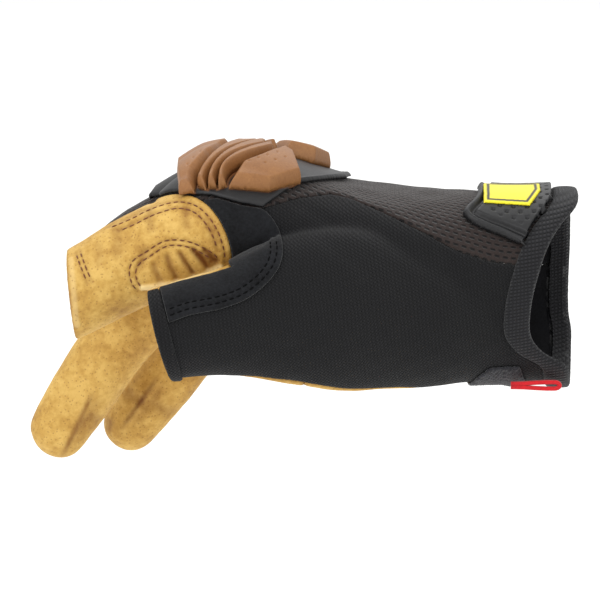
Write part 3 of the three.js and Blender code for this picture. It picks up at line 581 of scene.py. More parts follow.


# folds, which sink the surface and darken it with painted shade: strokes in picture pixels, depth in mm (a
# dent is positive), width in pixels

folds = [
    # gathers of the index leather, from the arc down to the corner of the web
    ((156, 260), (159, 273), (166, 286), 0.6, 3.2), ((169, 252), (173, 267), (182, 284), 0.8, 3.0),
    ((180, 250), (188, 263), (199, 279), 1.0, 2.8), ((192, 248), (202, 259), (213, 273), 1.1, 2.8),
    ((203, 249), (212, 256), (221, 266), 1.0, 2.6), ((198, 253), (209, 261), (219, 268), 0.6, 3),
    ((150, 245), (146, 258), (140, 272), 0.45, 4),
    # dents under the top edge and across the finger
    ((155, 207), (153, 222), (157, 236), 0.4, 4.5), ((190, 205), (188, 220), (192, 234), 0.35, 4.5),
    ((118, 226), (122, 244), (118, 262), 0.3, 6), ((100, 240), (104, 256), (101, 272), 0.25, 5),
    ((205, 215), (214, 232), (222, 250), 0.35, 4),
    # web patch
    ((234, 258), (252, 251), (272, 242), 0.9, 4), ((230, 232), (240, 240), (246, 252), 0.5, 5),
    ((240, 205), (252, 216), (262, 236), 0.35, 5),
    # black knit: soft folds from the ball of the thumb to the cuff
    ((300, 230), (345, 250), (380, 300), 0.35, 12), ((430, 240), (455, 275), (462, 325), 0.45, 11),
    ((480, 262), (492, 300), (488, 345), 0.4, 8), ((395, 320), (440, 345), (490, 362), 0.35, 10),
    ((230, 330), (270, 345), (315, 352), 0.35, 9), ((345, 215), (392, 240), (432, 258), 0.3, 9),
    # closed fingers
    ((120, 388), (132, 400), (146, 404), 0.5, 6), ((88, 412), (98, 424), (112, 428), 0.5, 6),
    ((150, 402), (163, 412), (178, 412), 0.4, 6),
    # seams that stand up along the closed fingers, darkened along their line with painted shade
    ((93, 390), (76, 424), (58, 460), -0.6, 2.6), ((157, 376), (137, 405), (116, 434), -0.6, 2.6),
    ((100, 396), (86, 420), (70, 448), 0.3, 4), ((163, 384), (146, 408), (128, 430), 0.3, 4),
]


# pale leather: a raised pale lip along the top edge of the thumb, and painted highlight along the index
# leather's upper-left edges; strokes with width in pixels and strength
paleStrokes = [(((145, 287), (185, 280), (222, 266)), 2.7, 1.0),
               (((80, 240), (108, 222), (150, 207)), 4, 0.35),
               (((76, 262), (78, 290), (80, 322)), 3, 0.35)]
# weights of the painted shade: in folds, in the stitch grooves, along panel borders (and the border's width
# in mm) and on overlays; paleRise is how high the pale lip stands
shading = {"paintedShade": 0.85, "pull": 0.3, "edge": 0.35, "edgeWidth": 0.9, "overlayFold": 0.75, "paleRise": 0.8}
press = {"width": 0.62, "depth": 0.3, "nearSide": -16}


def pixelToView(points):
    return (np.array(points, float) - wristPixel) * (pixel, -pixel)


def strokeDistance(view, line):
    best = np.full(len(view), 1e9)
    along = np.zeros(len(view))
    for k, (a, b) in enumerate(zip(line, line[1:])):
        run = b - a
        t = np.clip(((view - a) @ run) / (run @ run), 0, 1)
        gap = np.linalg.norm(view - a - t[:, None] * run, axis=1)
        closer = gap < best
        best[closer] = gap[closer]
        along[closer] = (k + t[closer]) / (len(line) - 1)
    return best, along


def bend(points, steps=14):
    a, b, c = (np.array(p, float) for p in points)
    control = 2 * b - (a + c) / 2
    t = np.linspace(0, 1, steps)[:, None]
    return (1 - t)**2 * a + 2 * t * (1 - t) * control + t * t * c


rng = np.random.default_rng(5)
waves = [(rng.normal(size=3), rng.uniform(0, 6.28), length) for length in (34, 27, 19, 15, 11, 9, 7, 6)]


def facingOf(lean):
    # one where a surface faces the picture and nil where it is turned away
    return np.clip(-(lean[:, 1] * tiltCos - lean[:, 2] * tiltSin) * 3, 0, 1)


def foldDepth(p, lean):
    # how dark each point is painted, as painted shade in the dents and along the raised seams, and how far it
    # sinks: strokes on the side that shows, and a general unevenness
    view, facing = viewOf(p), facingOf(lean)
    out, shade = np.zeros(len(p)), np.zeros(len(p))
    for a, b, c, depth, width in folds:
        gap, along = strokeDistance(view, bend(pixelToView([a, b, c])))
        ends = np.clip(np.minimum(along, 1 - along) * 5, 0, 1)
        stroke = facing * ends * np.exp(-(gap / (width * pixel))**2)
        out += depth * stroke
        shade += max(depth, -1.3 * depth) * stroke
    uneven = np.zeros(len(p))
    for direction, phase, length in waves:
        direction = direction / np.linalg.norm(direction)
        uneven += np.sin(p @ direction * 2 * math.pi / length + phase) * length / 34
    return shade, out + 0.16 * uneven


# rows of stitches, in the plane of the picture

def spaced(line, step):
    line = np.array(line, float)
    run = np.concatenate([[0], np.cumsum(np.linalg.norm(np.diff(line, axis=0), axis=1))])
    at = np.arange(step / 2, run[-1], step)
    return np.stack([np.interp(at, run, line[:, k]) for k in (0, 1)], axis=1)


def insideRow(outline, start, end, distance):
    # the part of an outline between two picture points, moved inwards
    points = pixelToView([start, end])
    first, last = (int(np.argmin(np.linalg.norm(outline - point, axis=1))) for point in points)
    count = len(outline)
    run = outline[[(first + k) % count for k in range((last - first) % count + 1)]]
    slope = np.gradient(run, axis=0)
    square = np.stack([-slope[:, 1], slope[:, 0]], axis=1)
    square /= np.maximum(np.linalg.norm(square, axis=1, keepdims=True), 1e-6)
    inward = np.where(fieldOf(run + square * 0.4, outline) < 0, 1.0, -1.0)[:, None]
    return run + square * inward * distance


arcs = [[(142, 291), (133, 277), (135, 263), (149, 253), (168, 242), (187, 242), (204, 248), (219, 260)],
        [(147, 289), (139, 277), (141, 266), (153, 257), (170, 247), (186, 247), (200, 252), (213, 262)]]
straights = [[(80, 254), (86, 270), (92, 284)], [(84, 252), (90, 268), (96, 282)]]
seamLines = {
    "indexLeather": [insideRow(indexEdge, (110, 222), (232, 262), 2.3),
                     insideRow(indexEdge, (118, 219), (230, 250), 4.4),
                     *[roundOutline(pixelToView(line))[:71] for line in arcs],
                     *[pixelToView(line) for line in straights]],
    "webPatch": [insideRow(saddleEdge, (283, 240), (158, 321), distance) for distance in (2.0, 4.0)],
}


def pressed(name, p, lean):
    # how deep the rows of stitches pull a piece in
    out = np.zeros(len(p))
    for line in seamLines.get(name, ()):
        out = np.maximum(out, np.exp(-(strokeDistance(viewOf(p), line[::2])[0] / press["width"])**2))
    return out * facingOf(lean) * (p[:, 1] < press["nearSide"])


# materials: pattern sizes are in metres, and a scale is grains in a metre

def stored(tree, name):
    # a number kept on the points of a piece
    return add(tree, "ShaderNodeAttribute", {"attribute_name": name}).outputs["Fac"]


def maths(tree, operation, *values):
    return add(tree, "ShaderNodeMath", {"operation": operation}, dict(enumerate(values))).outputs[0]


def noise(tree, place, scale, detail, roughness=0.5):
    return add(tree, "ShaderNodeTexNoise", {},
               {"Vector": place, "Scale": scale, "Detail": detail, "Roughness": roughness}).outputs[0]


def blend(tree, amount, first, second):
    return add(tree, "ShaderNodeMix", {"data_type": "RGBA"}, {0: amount, 6: first, 7: second}).outputs[2]


def rescale(tree, value, low, high, newLow=0, newHigh=1, kind="LINEAR"):
    return add(tree, "ShaderNodeMapRange", {"interpolation_type": kind},
               {0: value, 1: low, 2: high, 3: newLow, 4: newHigh}).outputs[0]


def bump(tree, height, strength, distance):
    return add(tree, "ShaderNodeBump", {},
               {"Height": height, "Strength": strength, "Distance": distance}).outputs[0]


def grainLeather(name, light, middle, dark):
    # full-grain cowhide, drum-dyed and left dull: blotches of tan 13 mm wide, dark pores, painted shade of
    # dark brown in its folds, stitch grooves and borders, a pale raised lip and painted highlight on its
    # upper-left edges; real pores are 0.3 mm apart and are drawn 1.3 mm apart, so that they show
    made, tree, shader, place = newMaterial(name)
    blotch = noise(tree, place, 75, 5, 0.62)
    fine = noise(tree, place, 420, 7, 0.65)
    pores = add(tree, "ShaderNodeTexVoronoi", {"feature": "F1"},
                {"Vector": place, "Scale": 780, "Randomness": 1}).outputs["Distance"]
    ramp = add(tree, "ShaderNodeValToRGB", {}, {0: maths(tree, "MULTIPLY_ADD", fine, 0.7, blotch)})
    ramp.color_ramp.elements[0].position = 0.56
    ramp.color_ramp.elements[0].color = linear(dark)
    ramp.color_ramp.elements[1].position = 1.0
    ramp.color_ramp.elements[1].color = linear(light)
    ramp.color_ramp.elements.new(0.79).color = linear(middle)
    # painted shade first, then the pale lip and the painted highlight
    folded = blend(tree, stored(tree, "paintedShade"), ramp.outputs[0], linear("#6E3F10"))
    paleLipAndHighlight = blend(tree, stored(tree, "pale"), folded, linear("#E6CB8F"))
    pit = maths(tree, "MULTIPLY", maths(tree, "GREATER_THAN", 0.22, pores), 0.4)
    relief = maths(tree, "MULTIPLY_ADD", pores, 0.35, fine)
    setInputs(tree, shader, {
        "Base Color": blend(tree, pit, paleLipAndHighlight, linear("#7A4B1E")),
        "Roughness": rescale(tree, blotch, 0, 1, 0.58, 0.78),
        "Normal": bump(tree, relief, 0.42, 0.0007), "Specular IOR Level": 0.35})
    return made


def ribbedKnit(name, dark, lit, rib, cross, depth, lean, sheen, across):
    # knitted polyester, piece-dyed: upright wales and a cross thread, dull, with a faint bloom of fibre ends;
    # a real wale is 0.6 mm wide and is drawn 1.2 mm wide, so that it shows in the picture
    made, tree, shader, place = newMaterial(name)
    split = add(tree, "ShaderNodeSeparateXYZ", {}, {0: place})
    slant = maths(tree, "MULTIPLY_ADD", split.outputs[2], lean, split.outputs[0])
    drift = maths(tree, "MULTIPLY_ADD", noise(tree, place, 90, 2), 0.0011, slant)
    wales = maths(tree, "SINE", maths(tree, "MULTIPLY", drift, 2 * math.pi / rib))
    over = maths(tree, "MULTIPLY_ADD", split.outputs[0], -0.18, split.outputs[2])
    courses = maths(tree, "SINE", maths(tree, "MULTIPLY", over, 2 * math.pi / cross))
    rows = maths(tree, "MULTIPLY_ADD", courses, across, maths(tree, "MULTIPLY", courses, wales))
    knitted = maths(tree, "MULTIPLY_ADD", wales, 0.5, rows)
    fibre = noise(tree, place, 1500, 4, 0.7)
    level = rescale(tree, maths(tree, "MULTIPLY_ADD", fibre, 2.2, knitted), -0.6, 2.9)
    # the colour follows the knit's relief: dark in the grooves and lit on the raised wales, as painted shade
    # and painted highlight
    setInputs(tree, shader, {
        "Base Color": blend(tree, level, linear(dark), linear(lit)), "Roughness": 0.92,
        "Normal": bump(tree, level, 0.6, depth), "Sheen Weight": sheen, "Sheen Roughness": 0.6,
        "Specular IOR Level": 0.2})
    return made


def airMesh(name, rowPitch=0.00175, slitPitch=0.0027):
    # warp-knitted air mesh, dyed dark brown: staggered slits, coloured near-black
    made, tree, shader, place = newMaterial(name)
    along = add(tree, "ShaderNodeSeparateXYZ", {}, {0: place}).outputs[0]
    row = maths(tree, "DIVIDE", stored(tree, "wrap"), rowPitch)
    stagger = maths(tree, "MULTIPLY", maths(tree, "FLOOR", row), 0.5)
    shifted = maths(tree, "ADD", maths(tree, "DIVIDE", along, slitPitch), stagger)
    fromRow, fromSlit = (maths(tree, "ABSOLUTE", maths(tree, "SUBTRACT", maths(tree, "FRACT", value), 0.5))
                         for value in (row, shifted))
    slit = maths(tree, "MULTIPLY", rescale(tree, fromRow, 0.1, 0.3, 1, 0, "SMOOTHSTEP"),
                 rescale(tree, fromSlit, 0.2, 0.38, 1, 0, "SMOOTHSTEP"))
    fibre = noise(tree, place, 1300, 4)
    yarn = blend(tree, fibre, linear("#1C1513"), linear("#332926"))
    relief = maths(tree, "MULTIPLY_ADD", slit, -1.6, fibre)
    setInputs(tree, shader, {
        "Base Color": blend(tree, slit, yarn, linear("#070505")), "Roughness": 0.88,
        "Normal": bump(tree, relief, 0.6, 0.0005), "Sheen Weight": 0.15, "Specular IOR Level": 0.25})
    return made


def grainedCover(name, dark, lit, scale, strength, distance, roughness, sheen, specular, second=None):
    # a surface with one fine grain, clouded over nine grains, and a second colour where rim is set
    made, tree, shader, place = newMaterial(name)
    grain = noise(tree, place, scale, 6, 0.65)
    cloud = noise(tree, place, scale / 9, 3)
    level = rescale(tree, maths(tree, "MULTIPLY_ADD", cloud, 0.6, grain), 0.5, 1.1)
    colour = blend(tree, level, linear(dark), linear(lit))
    if second:
        colour = blend(tree, stored(tree, "rim"), colour, linear(second))
    setInputs(tree, shader, {
        "Base Color": colour, "Roughness": rescale(tree, cloud, 0, 1, roughness - 0.06, roughness + 0.06),
        "Normal": bump(tree, grain, strength, distance), "Sheen Weight": sheen,
        "Specular IOR Level": specular})
    return made


def badgeRubber(name):
    # moulded soft rubber, dyed yellow, with a black line let in round it: flat and bright, with a dull gloss
    made, tree, shader, place = newMaterial(name)
    grain = noise(tree, place, 1200, 5)
    yellow = blend(tree, grain, linear("#E0D010"), linear("#F2E626"))
    setInputs(tree, shader, {
        "Base Color": blend(tree, stored(tree, "rim"), yellow, linear("#141414")), "Roughness": 0.5,
        "Normal": bump(tree, grain, 0.15, 0.0002)})
    return made


rubberGrain = (1400, 0.25, 0.0002, 0.5, 0, 0.4)
materials = {
    "tan": grainLeather("tanGrainLeather", "#CFA95B", "#BA9144", "#986D2C"),
    # the cut edge of the hide: pale open fibre with no gloss, 1.1 mm apart
    "rawEdge": grainedCover("rawLeatherEdge", "#C79B55", "#EBD096", 900, 0.5, 0.0004, 0.9, 0.1, 0.2),
    # painted shade: a nearly black, finely grained sheet on the inside and on the cut rims of the panels, so
    # that the inside reads as a dark hollow and the seams as dark gaps
    "shadeLining": grainedCover("paintedShadeLining", "#060607", "#17171A", 1500, 0.4, 0.0003, 0.95, 0.05, 0.15),
    "knit": ribbedKnit("blackRibbedKnit", "#020202", "#1C1C1E", 0.0012, 0.0011, 0.0008, 0.12, 0.05, 0.15),
    "cuff": ribbedKnit("cuffRibbedKnit", "#040405", "#242427", 0.0012, 0.0011, 0.0007, 0.0, 0.1, 1.1),
    "mesh": airMesh("brownAirMesh"),
    # split hide, buffed to a short nap: matt black with a soft bloom at its turns
    "suede": grainedCover("blackNappedSuede", "#070708", "#1F2023", 1100, 0.5, 0.0004, 0.93, 0.12, 0.15),
    # injection-moulded thermoplastic rubber: an even colour and a broad, weak highlight
    "rubber": grainedCover("blackMouldedRubber", "#0D0D0E", "#1C1C1E", *rubberGrain),
    "guard": grainedCover("twoColourGuardRubber", "#0D0D0E", "#1C1C1E", *rubberGrain, "#7A4C26"),
    "brown": grainedCover("brownMouldedRubber", "#80542E", "#98693C", 1300, 0.2, 0.0002, 0.5, 0, 0.4),
    # knitted loops, 1.4 mm apart, that break up the light into grey fuzz
    "pile": grainedCover("greyLoopPile", "#08080A", "#37373C", 700, 0.9, 0.0009, 0.98, 0.25, 0.1),
    # woven polyester ribbon, dyed red: bright, with a slight sheen from its fine weave
    "ribbon": grainedCover("redWovenRibbon", "#A3040F", "#D60E1E", 1500, 0.5, 0.0003, 0.7, 0.2, 0.3),
    # twisted nylon, bonded so that it doesn't fray: brown on the leather and dull black on the suede
    "thread": grainedCover("brownBondedThread", "#4E2610", "#7C4420", 2500, 0.4, 0.0002, 0.6, 0.1, 0.4),
    "blackThread": grainedCover("blackBondedThread", "#020202", "#0B0B0C", 2500, 0.4, 0.0002, 0.9, 0.0, 0.1),
    "badge": badgeRubber("yellowMouldedRubber"),
}


def finishPiece(name, bm, nodes, material, wall=0.0, shadeLining=None, edge=None):
    mesh = bpy.data.meshes.new(name)
    for v in bm.verts:
        v.co = v.co * mm
    for old in ("level", "thumbPart", *leanNames):
        if bm.verts.layers.float.get(old):
            bm.verts.layers.float.remove(bm.verts.layers.float[old])
    bm.normal_update()
    bm.to_mesh(mesh)
    bm.free()
    mesh.polygons.foreach_set("use_smooth", [True] * len(mesh.polygons))
    mesh.materials.append(materials[material])
    piece = bpy.data.objects.new(name, mesh)
    bpy.context.collection.objects.link(piece)
    if wall:
        mesh.materials.append(materials[shadeLining or material])
        mesh.materials.append(materials[edge or material])
        thicken = piece.modifiers.new("wall", "SOLIDIFY")
        thicken.thickness = wall * mm
        thicken.offset = -1
        thicken.material_offset = 1
        thicken.material_offset_rim = 2
    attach(piece, "root")
    if nodes:
        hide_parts(*nodes)
    print(name, len(mesh.polygons), "faces")
    return piece


# the five panels

def wrapLength(p, radius=30.0):
    # length round the glove from its top line, for patterns that follow the section
    centre = np.array([np.interp(p[:, 0], palmRows[::-1, 0], palmRows[::-1, k]) for k in (1, 2)]).T
    offset = p[:, 1:] - centre
    return np.arctan2(offset[:, 0], offset[:, 1]) * radius


panelSizes = {"wall": 1.5, "intoCuff": 6}
panels = {
    "indexLeather": {"field": lambda r: r["index"], "node": "index_leather", "slot": "tan_leather",
                     "material": "tan", "rise": 0.8, "roll": (1.0, 0.6), "edge": "rawEdge", "cuts": 1},
    "backMesh": {"field": lambda r: both(r["back"], -r["index"]), "node": "back_mesh", "slot": "brown_mesh",
                 "material": "mesh", "roll": (1.4, 0.6)},
    "sideKnit": {"field": lambda r: both(r["knit"], -r["index"], -r["back"]), "node": "side_knit",
                 "slot": "black_knit", "material": "knit", "roll": (1.4, 0.7)},
    "thumbLeather": {"field": lambda r: both(r["thumb"], -r["index"], -r["back"], -r["knit"]),
                     "node": "thumb_leather", "slot": "tan_leather", "material": "tan", "roll": (1.4, 0.7)},
    "palmLeather": {"field": lambda r: both(-r["index"], -r["back"], -r["knit"], -r["thumb"]),
                    "node": "palm_leather", "slot": "tan_leather", "material": "tan", "roll": (1.5, 0.8)},
}


def paleness(p):
    out = np.zeros(len(p))
    for line, width, strength in paleStrokes:
        gap = strokeDistance(viewOf(p), bend(pixelToView(line)))[0]
        out = np.maximum(out, strength * np.exp(-(gap / (width * pixel))**4) * (p[:, 1] < -18))
    return out


def makePanel(name, field, node, slot, material, roll, rise=0.0, edge="shadeLining", cuts=0):
    def whole(r):
        return both(field(r), r["mouth"], r["cuff"] + panelSizes["intoCuff"])
    bm = patchOf(whole(skinRegions), cuts=cuts)
    cutAlong(bm, whole(regions(places(bm), readLayer(bm, "thumbPart"))))
    keepLargest(bm)
    p, lean = places(bm), leans(bm)
    distance = edgeDistance(bm)
    paintedShade, sink = foldDepth(p, lean)
    radius, drop = roll
    rounding = drop * (1 - quarterRound(distance, radius))
    pull = pressed(name, p, lean)
    # painted shade along the panel's border, which joins the painted shade of the folds and the stitch
    # grooves below
    border = shading["edge"] * np.exp(-(distance / shading["edgeWidth"])**2)
    pale = paleness(p) if material == "tan" else np.zeros(len(p))
    storeLayer(bm, "paintedShade", np.clip(paintedShade * shading["paintedShade"] + shading["pull"] * pull + border, 0, 1))
    storeLayer(bm, "wrap", wrapLength(p) * mm)
    storeLayer(bm, "pale", pale)
    high = rise - sink - rounding + shading["paleRise"] * pale - press["depth"] * pull
    moveTo(bm, p + lean * high[:, None])
    tree = BVHTree.FromBMesh(bm)
    finishPiece(name, bm, (node,), material, panelSizes["wall"], "shadeLining", edge)
    return tree


panelTrees = {name: makePanel(name, **panel) for name, panel in panels.items()}

# overlays: web patch, thumb hem, heel strip, cuff binding, guard base

def lifted(r, p, lean, high):
    # the outlines of a raised piece hold at its own height
    top = p + lean * high
    return {**r, "view": viewOf(top), "plan": top[:, :2]}


def makeOverlay(name, fieldFrom, node, slot, material, high, cuts=1, wall=1.0, roll=(0.9, 0.7), bead=None,
                folded=1.0, extra=None, rimBand=None, keep=None):
    bm = patchOf(fieldFrom(lifted(skinRegions, skinPlaces, skinLeans, high), skinPlaces), cuts=cuts)
    p = places(bm)
    cutAlong(bm, fieldFrom(lifted(regions(p, readLayer(bm, "thumbPart")), p, leans(bm), high), p))
    keepLargest(bm)
    p, lean = places(bm), leans(bm)
    distance = edgeDistance(bm, keep)
    paintedShade, sink = foldDepth(p, lean)
    rounding = roll[1] * (1 - quarterRound(distance, roll[0]))
    height = high - rounding - sink * folded - press["depth"] * pressed(name, p, lean)
    if bead:
        place, rise, width = bead
        height += rise * np.exp(-((distance - place) / width)**2)
    if extra is not None:
        height += extra(p, distance)
    storeLayer(bm, "paintedShade", np.clip(paintedShade * shading["overlayFold"], 0, 1))
    storeLayer(bm, "wrap", wrapLength(p) * mm)
    if rimBand:
        storeLayer(bm, "rim", rimBand(p, lean, distance))
    moveTo(bm, p + lean * height[:, None])
    tree = BVHTree.FromBMesh(bm)
    finishPiece(name, bm, (node,), material, wall)
    return tree


# roll is the radius and drop of the rounded border, and bead is a ridge's place, height and width
bindingWidth = 8.5
patch = {"high": 1.2, "roll": (0.8, 0.8)}
hem = {"high": 1.1, "roll": (1.2, 0.8), "bead": (2.4, -0.25, 0.7)}
heel = {"high": 1.2, "roll": (1.0, 0.7)}
binding = {"high": 1.3, "wall": 3.3, "roll": (1.2, 0.9), "folded": 0.6}
base = {"high": 1.8, "wall": 1.5, "roll": (0.9, 0.9), "folded": 0.0}


def fuzz(p, distance):
    return 0.18 * np.sin(p[:, 0] * 4.1) * np.sin(p[:, 1] * 3.7 + 1.3 * np.sin(p[:, 0]))


def saddleField(r, p):
    return both(fieldOf(r["view"], saddleEdge), p[:, 1] + 0.2 * sizes["breadth"], r["knit"] - 0.3,
                -r["index"], 0.3 - r["guard"], 0.3 - r["hem"], r["mouth"])


def heelField(r, p):
    return both(fieldOf(r["plan"], planOutline(heelTable)), p[:, 2] + 0.3 * sizes["depth"],
                r["cuff"] + bindingWidth + 0.3)


def bindingProfile(p, distance):
    return 0.9 * quarterRound(distance, 3.9) - 0.7


patchTree = makeOverlay("webPatch", saddleField, "web_patch", "black_suede", "suede", **patch)
makeOverlay("thumbHem", lambda r, p: both(r["hem"], r["mouth"]), "thumb_hem", "black_knit", "knit", **hem)
makeOverlay("heelStrip", heelField, "heel_strip", "fuzzy_strip", "pile", extra=fuzz, **heel)
makeOverlay("cuffBinding", lambda r, p: both(r["cuff"], -bindingWidth - r["cuff"]), "cuff_binding",
            "cuff_knit", "cuff", extra=bindingProfile, **binding)

# knuckle guard: pads and ribs with tapered walls and soft tops

guard = {
    "floor": 1.9, "height": 5.4, "taper": 1.9, "groove": 0.92, "gap": 0.45, "middle": 6.7, "wall": 1.2,
    "rib": 3.0, "ribHeight": 5.2, "ribTaper": 1.0, "plinthRib": 4.8, "ribs": 3,
    "frontFall": (1.08, 1.2, 0.55), "rearFall": (0.78, 0.68, 0.75),
}
nearPads = {
    "guardNearFrontPad": sideOutline([(1.182, 0.52), (1.133, 0.53), (1.12, 0.61), (1.073, 0.69),
                                      (0.99, 0.765), (0.95, 0.785), (0.95, 1.2), (1.18, 1.2),
                                      (1.195, 0.62)], False),
    "guardNearRearPad": sideOutline([(1.02, 0.545), (0.885, 0.525), (0.786, 0.575), (0.81, 0.68),
                                     (0.855, 0.725), (0.983, 0.645)], False),
}
farPads = {
    "guardFarFrontPad": planOutline([(0.985, 0.012), (1.165, 0.012), (1.13, 0.13), (1.065, 0.255),
                                     (1.035, 0.24)], False),
    "guardFarRearPad": planOutline([(0.84, 0.015), (0.745, 0.03), (0.695, 0.14), (0.735, 0.3), (0.865, 0.375),
                                    (0.91, 0.3), (0.885, 0.14)], False),
}
nearRib = {"line": ((1.108, 0.548), (1.068, 0.73), (0.928, 0.757)), "across": sizes["depth"],
           "step": ((-0.0345, 0), (-0.003, -0.033), (-0.0245, -0.015)), "taper": 0.35}
farRib = {"line": ((1.028, 0.275), (0.99, 0.16), (0.94, 0.014)), "across": sizes["breadth"],
          "step": ((-0.035, 0.008), (-0.03, 0), (-0.03, 0)), "taper": 0}
pinDots = {
    "guardNearRearPad": [(250, 163), (259, 160), (268, 157), (278, 154), (266, 165), (276, 162), (286, 159)],
    "guardNearFrontPad": [(188, 164), (194, 158), (201, 153)],
}


def ribOutline(rib, number, thickness):
    points = (np.array(rib["line"]) + number * np.array(rib["step"])) * (-sizes["length"], rib["across"])
    a, b, c = points
    t = np.linspace(0, 1, 17)[:, None]
    line = (1 - t)**2 * a + 2 * t * (1 - t) * b + t * t * c
    slope = 2 * (1 - t) * (b - a) + 2 * t * (c - b)
    slope /= np.linalg.norm(slope, axis=1, keepdims=True)
    half = thickness / 2 * (1 - rib["taper"] * t)
    side = np.stack([-slope[:, 1], slope[:, 0]], axis=1) * half
    return np.concatenate([line + side, (line - side)[::-1]])


def ribOutlines(rib, thickness):
    return [ribOutline(rib, number, thickness) for number in range(guard["ribs"])]


def leastField(high, near, far):
    # near outlines lie in the plane of the picture, and far outlines in plan
    nearField = either(*[fieldOf(viewOf(high), outline) for outline in near])
    farField = either(*[fieldOf(high[:, :2], outline) for outline in far])
    return np.where(high[:, 1] < 0, nearField, farField)


def ribClearance(high):
    thickness = guard["rib"] + 2 * guard["gap"]
    return leastField(high, ribOutlines(nearRib, thickness), ribOutlines(farRib, thickness))


def plinthMask(p, lean, distance):
    # brown where the floor shows between the ribs
    high = p + lean * guard["middle"]
    near = [*nearPads.values(), *ribOutlines(nearRib, guard["plinthRib"])]
    far = [*farPads.values(), *ribOutlines(farRib, guard["plinthRib"])]
    return np.clip(0.5 - leastField(high, near, far) / 0.6, 0, 1) * (high[:, 2] > 5)


def guardRim(p, distance):
    # a thin raised rim, which the patch and the index leather cover at the front
    along = -p[:, 0] / sizes["length"]
    return 0.4 * np.exp(-((distance - 1.3) / 0.5)**2) * np.clip((0.9 - along) / 0.06, 0, 1)


makeOverlay("guardBase", lambda r, p: both(r["guard"], 0.3 - r["index"]), "knuckle_guard_base",
            "black_rubber", "guard", extra=guardRim, rimBand=plinthMask, **base)


def padField(near, outline, clearance=None):
    def field(p, lean):
        high = p + lean * guard["middle"]
        y = high[:, 1]
        region = fieldOf(viewOf(high) if near else high[:, :2], outline)
        side = (y + guard["groove"]) if near else (guard["groove"] * 0.3 - y)
        out = both(region, side, 5 - high[:, 2])
        return both(out, -clearance(high)) if clearance else out
    return field


def makePad(name, field, node, taper, height):
    bm = patchOf(field(skinPlaces, skinLeans), margin=2.0, cuts=2)
    cutAlong(bm, field(places(bm), leans(bm)), snap=0.02)
    keepLargest(bm, 0.1)
    p, lean = places(bm), leans(bm)
    distance = edgeDistance(bm)
    shoulder = 0.5 * np.clip(distance / taper, 0, 1) + 0.5 * quarterRound(distance, taper)
    along = -p[:, 0] / sizes["length"]
    fall = np.ones(len(p))
    for start, stop, low in (guard["frontFall"], guard["rearFall"]):
        fall = np.minimum(fall, 1 - (1 - low) * np.clip((along - start) / (stop - start), 0, 1))
    rise = guard["floor"] + height * shoulder * fall
    top = viewOf(p + lean * (guard["floor"] + guard["height"]))
    for dot in pinDots.get(name, ()):
        gap = np.linalg.norm(top - pixelToView(dot), axis=1)
        rise -= 0.4 * np.exp(-(gap / 0.3)**2)
    moveTo(bm, p + lean * rise[:, None])
    finishPiece(name, bm, (node,), "brown", guard["wall"])


for name, node in (("guardNearFrontPad", "guard_near_front_pad"), ("guardNearRearPad", "guard_near_rear_pad"),
                   ("guardFarFrontPad", "guard_far_front_pad"), ("guardFarRearPad", "guard_far_rear_pad")):
    near = name in nearPads
    outline = nearPads[name] if near else farPads[name]
    makePad(name, padField(near, outline, ribClearance), node, guard["taper"], guard["height"])
for number in range(guard["ribs"]):
    for side, rib in (("Near", nearRib), ("Far", farRib)):
        field = padField(side == "Near", ribOutline(rib, number, guard["rib"]))
        makePad(f"guard{side}Rib{number + 1}", field, f"guard_{side.lower()}_rib_{number + 1}",
                guard["ribTaper"], guard["ribHeight"])

# wrist tab and badge

tab = {"high": 2.5, "cuts": 2, "wall": 2.0, "roll": (1.1, 1.7), "bead": (1.3, 0.5, 0.8), "folded": 0.0}
tabRelief = {"groove": (3.1, -0.7, 0.7), "platform": (3.6, 0.9, 0.7), "pitPitch": 2.3, "pitDepth": 0.75,
             "pitWidth": 0.5, "pitsFrom": (5.6, 0.8)}
badge = {"high": 3.9, "cuts": 3, "roll": (0.7, 0.6), "folded": 0.0}


def tabProfile(p, distance):
    # a groove inside the rim, a raised middle, and diamond pits in rows on it
    place, depth, width = tabRelief["groove"]
    groove = depth * np.exp(-((distance - place) / width)**2)
    start, run, high = tabRelief["platform"]
    platform = high * np.clip((distance - start) / run, 0, 1)
    pitch = tabRelief["pitPitch"]
    u, w = p[:, 0] / pitch, wrapLength(p) / pitch
    cell = np.stack([u + w, u - w], axis=1) / 2
    off = np.abs(cell - np.round(cell)) * pitch
    start, run = tabRelief["pitsFrom"]
    dip = np.exp(-((off[:, 0] + off[:, 1]) / tabRelief["pitWidth"])**2)
    return groove + platform - tabRelief["pitDepth"] * dip * np.clip((distance - start) / run, 0, 1)


def pastBinding(place):
    # the tab's border under the binding has no rim
    return cuffField(np.array([place]))[0] < -bindingWidth - 1.2


def tabField(r, p):
    return both(fieldOf(r["view"], tabEdge), p[:, 1] - 0.2 * sizes["breadth"], r["cuff"] + bindingWidth + 0.2,
                5 - p[:, 2])


def badgeField(r, p):
    return both(fieldOf(r["view"], sideOutline(badgeTable, False)), p[:, 1] - 0.03 * sizes["breadth"],
                r["cuff"] + bindingWidth + 2.0, 5 - p[:, 2])


def badgeLine(p, lean, distance, place=1.5, width=0.5):
    return np.clip(1.5 - np.abs(distance - place) / width, 0, 1)


makeOverlay("wristTab", tabField, "wrist_tab", "black_rubber", "rubber", extra=tabProfile,
            keep=pastBinding, **tab)
makeOverlay("wristBadge", badgeField, "wrist_badge", "yellow_badge", "badge", rimBand=badgeLine, **badge)

# pull loop: a ribbon folded double at the lower side of the cuff

loop = {"place": (-0.08, -0.283, -0.4), "lean": 12, "length": 16.5, "height": 3.6, "ribbon": 1.5, "width": 6,
        "nose": 2.2, "closed": 0.55}


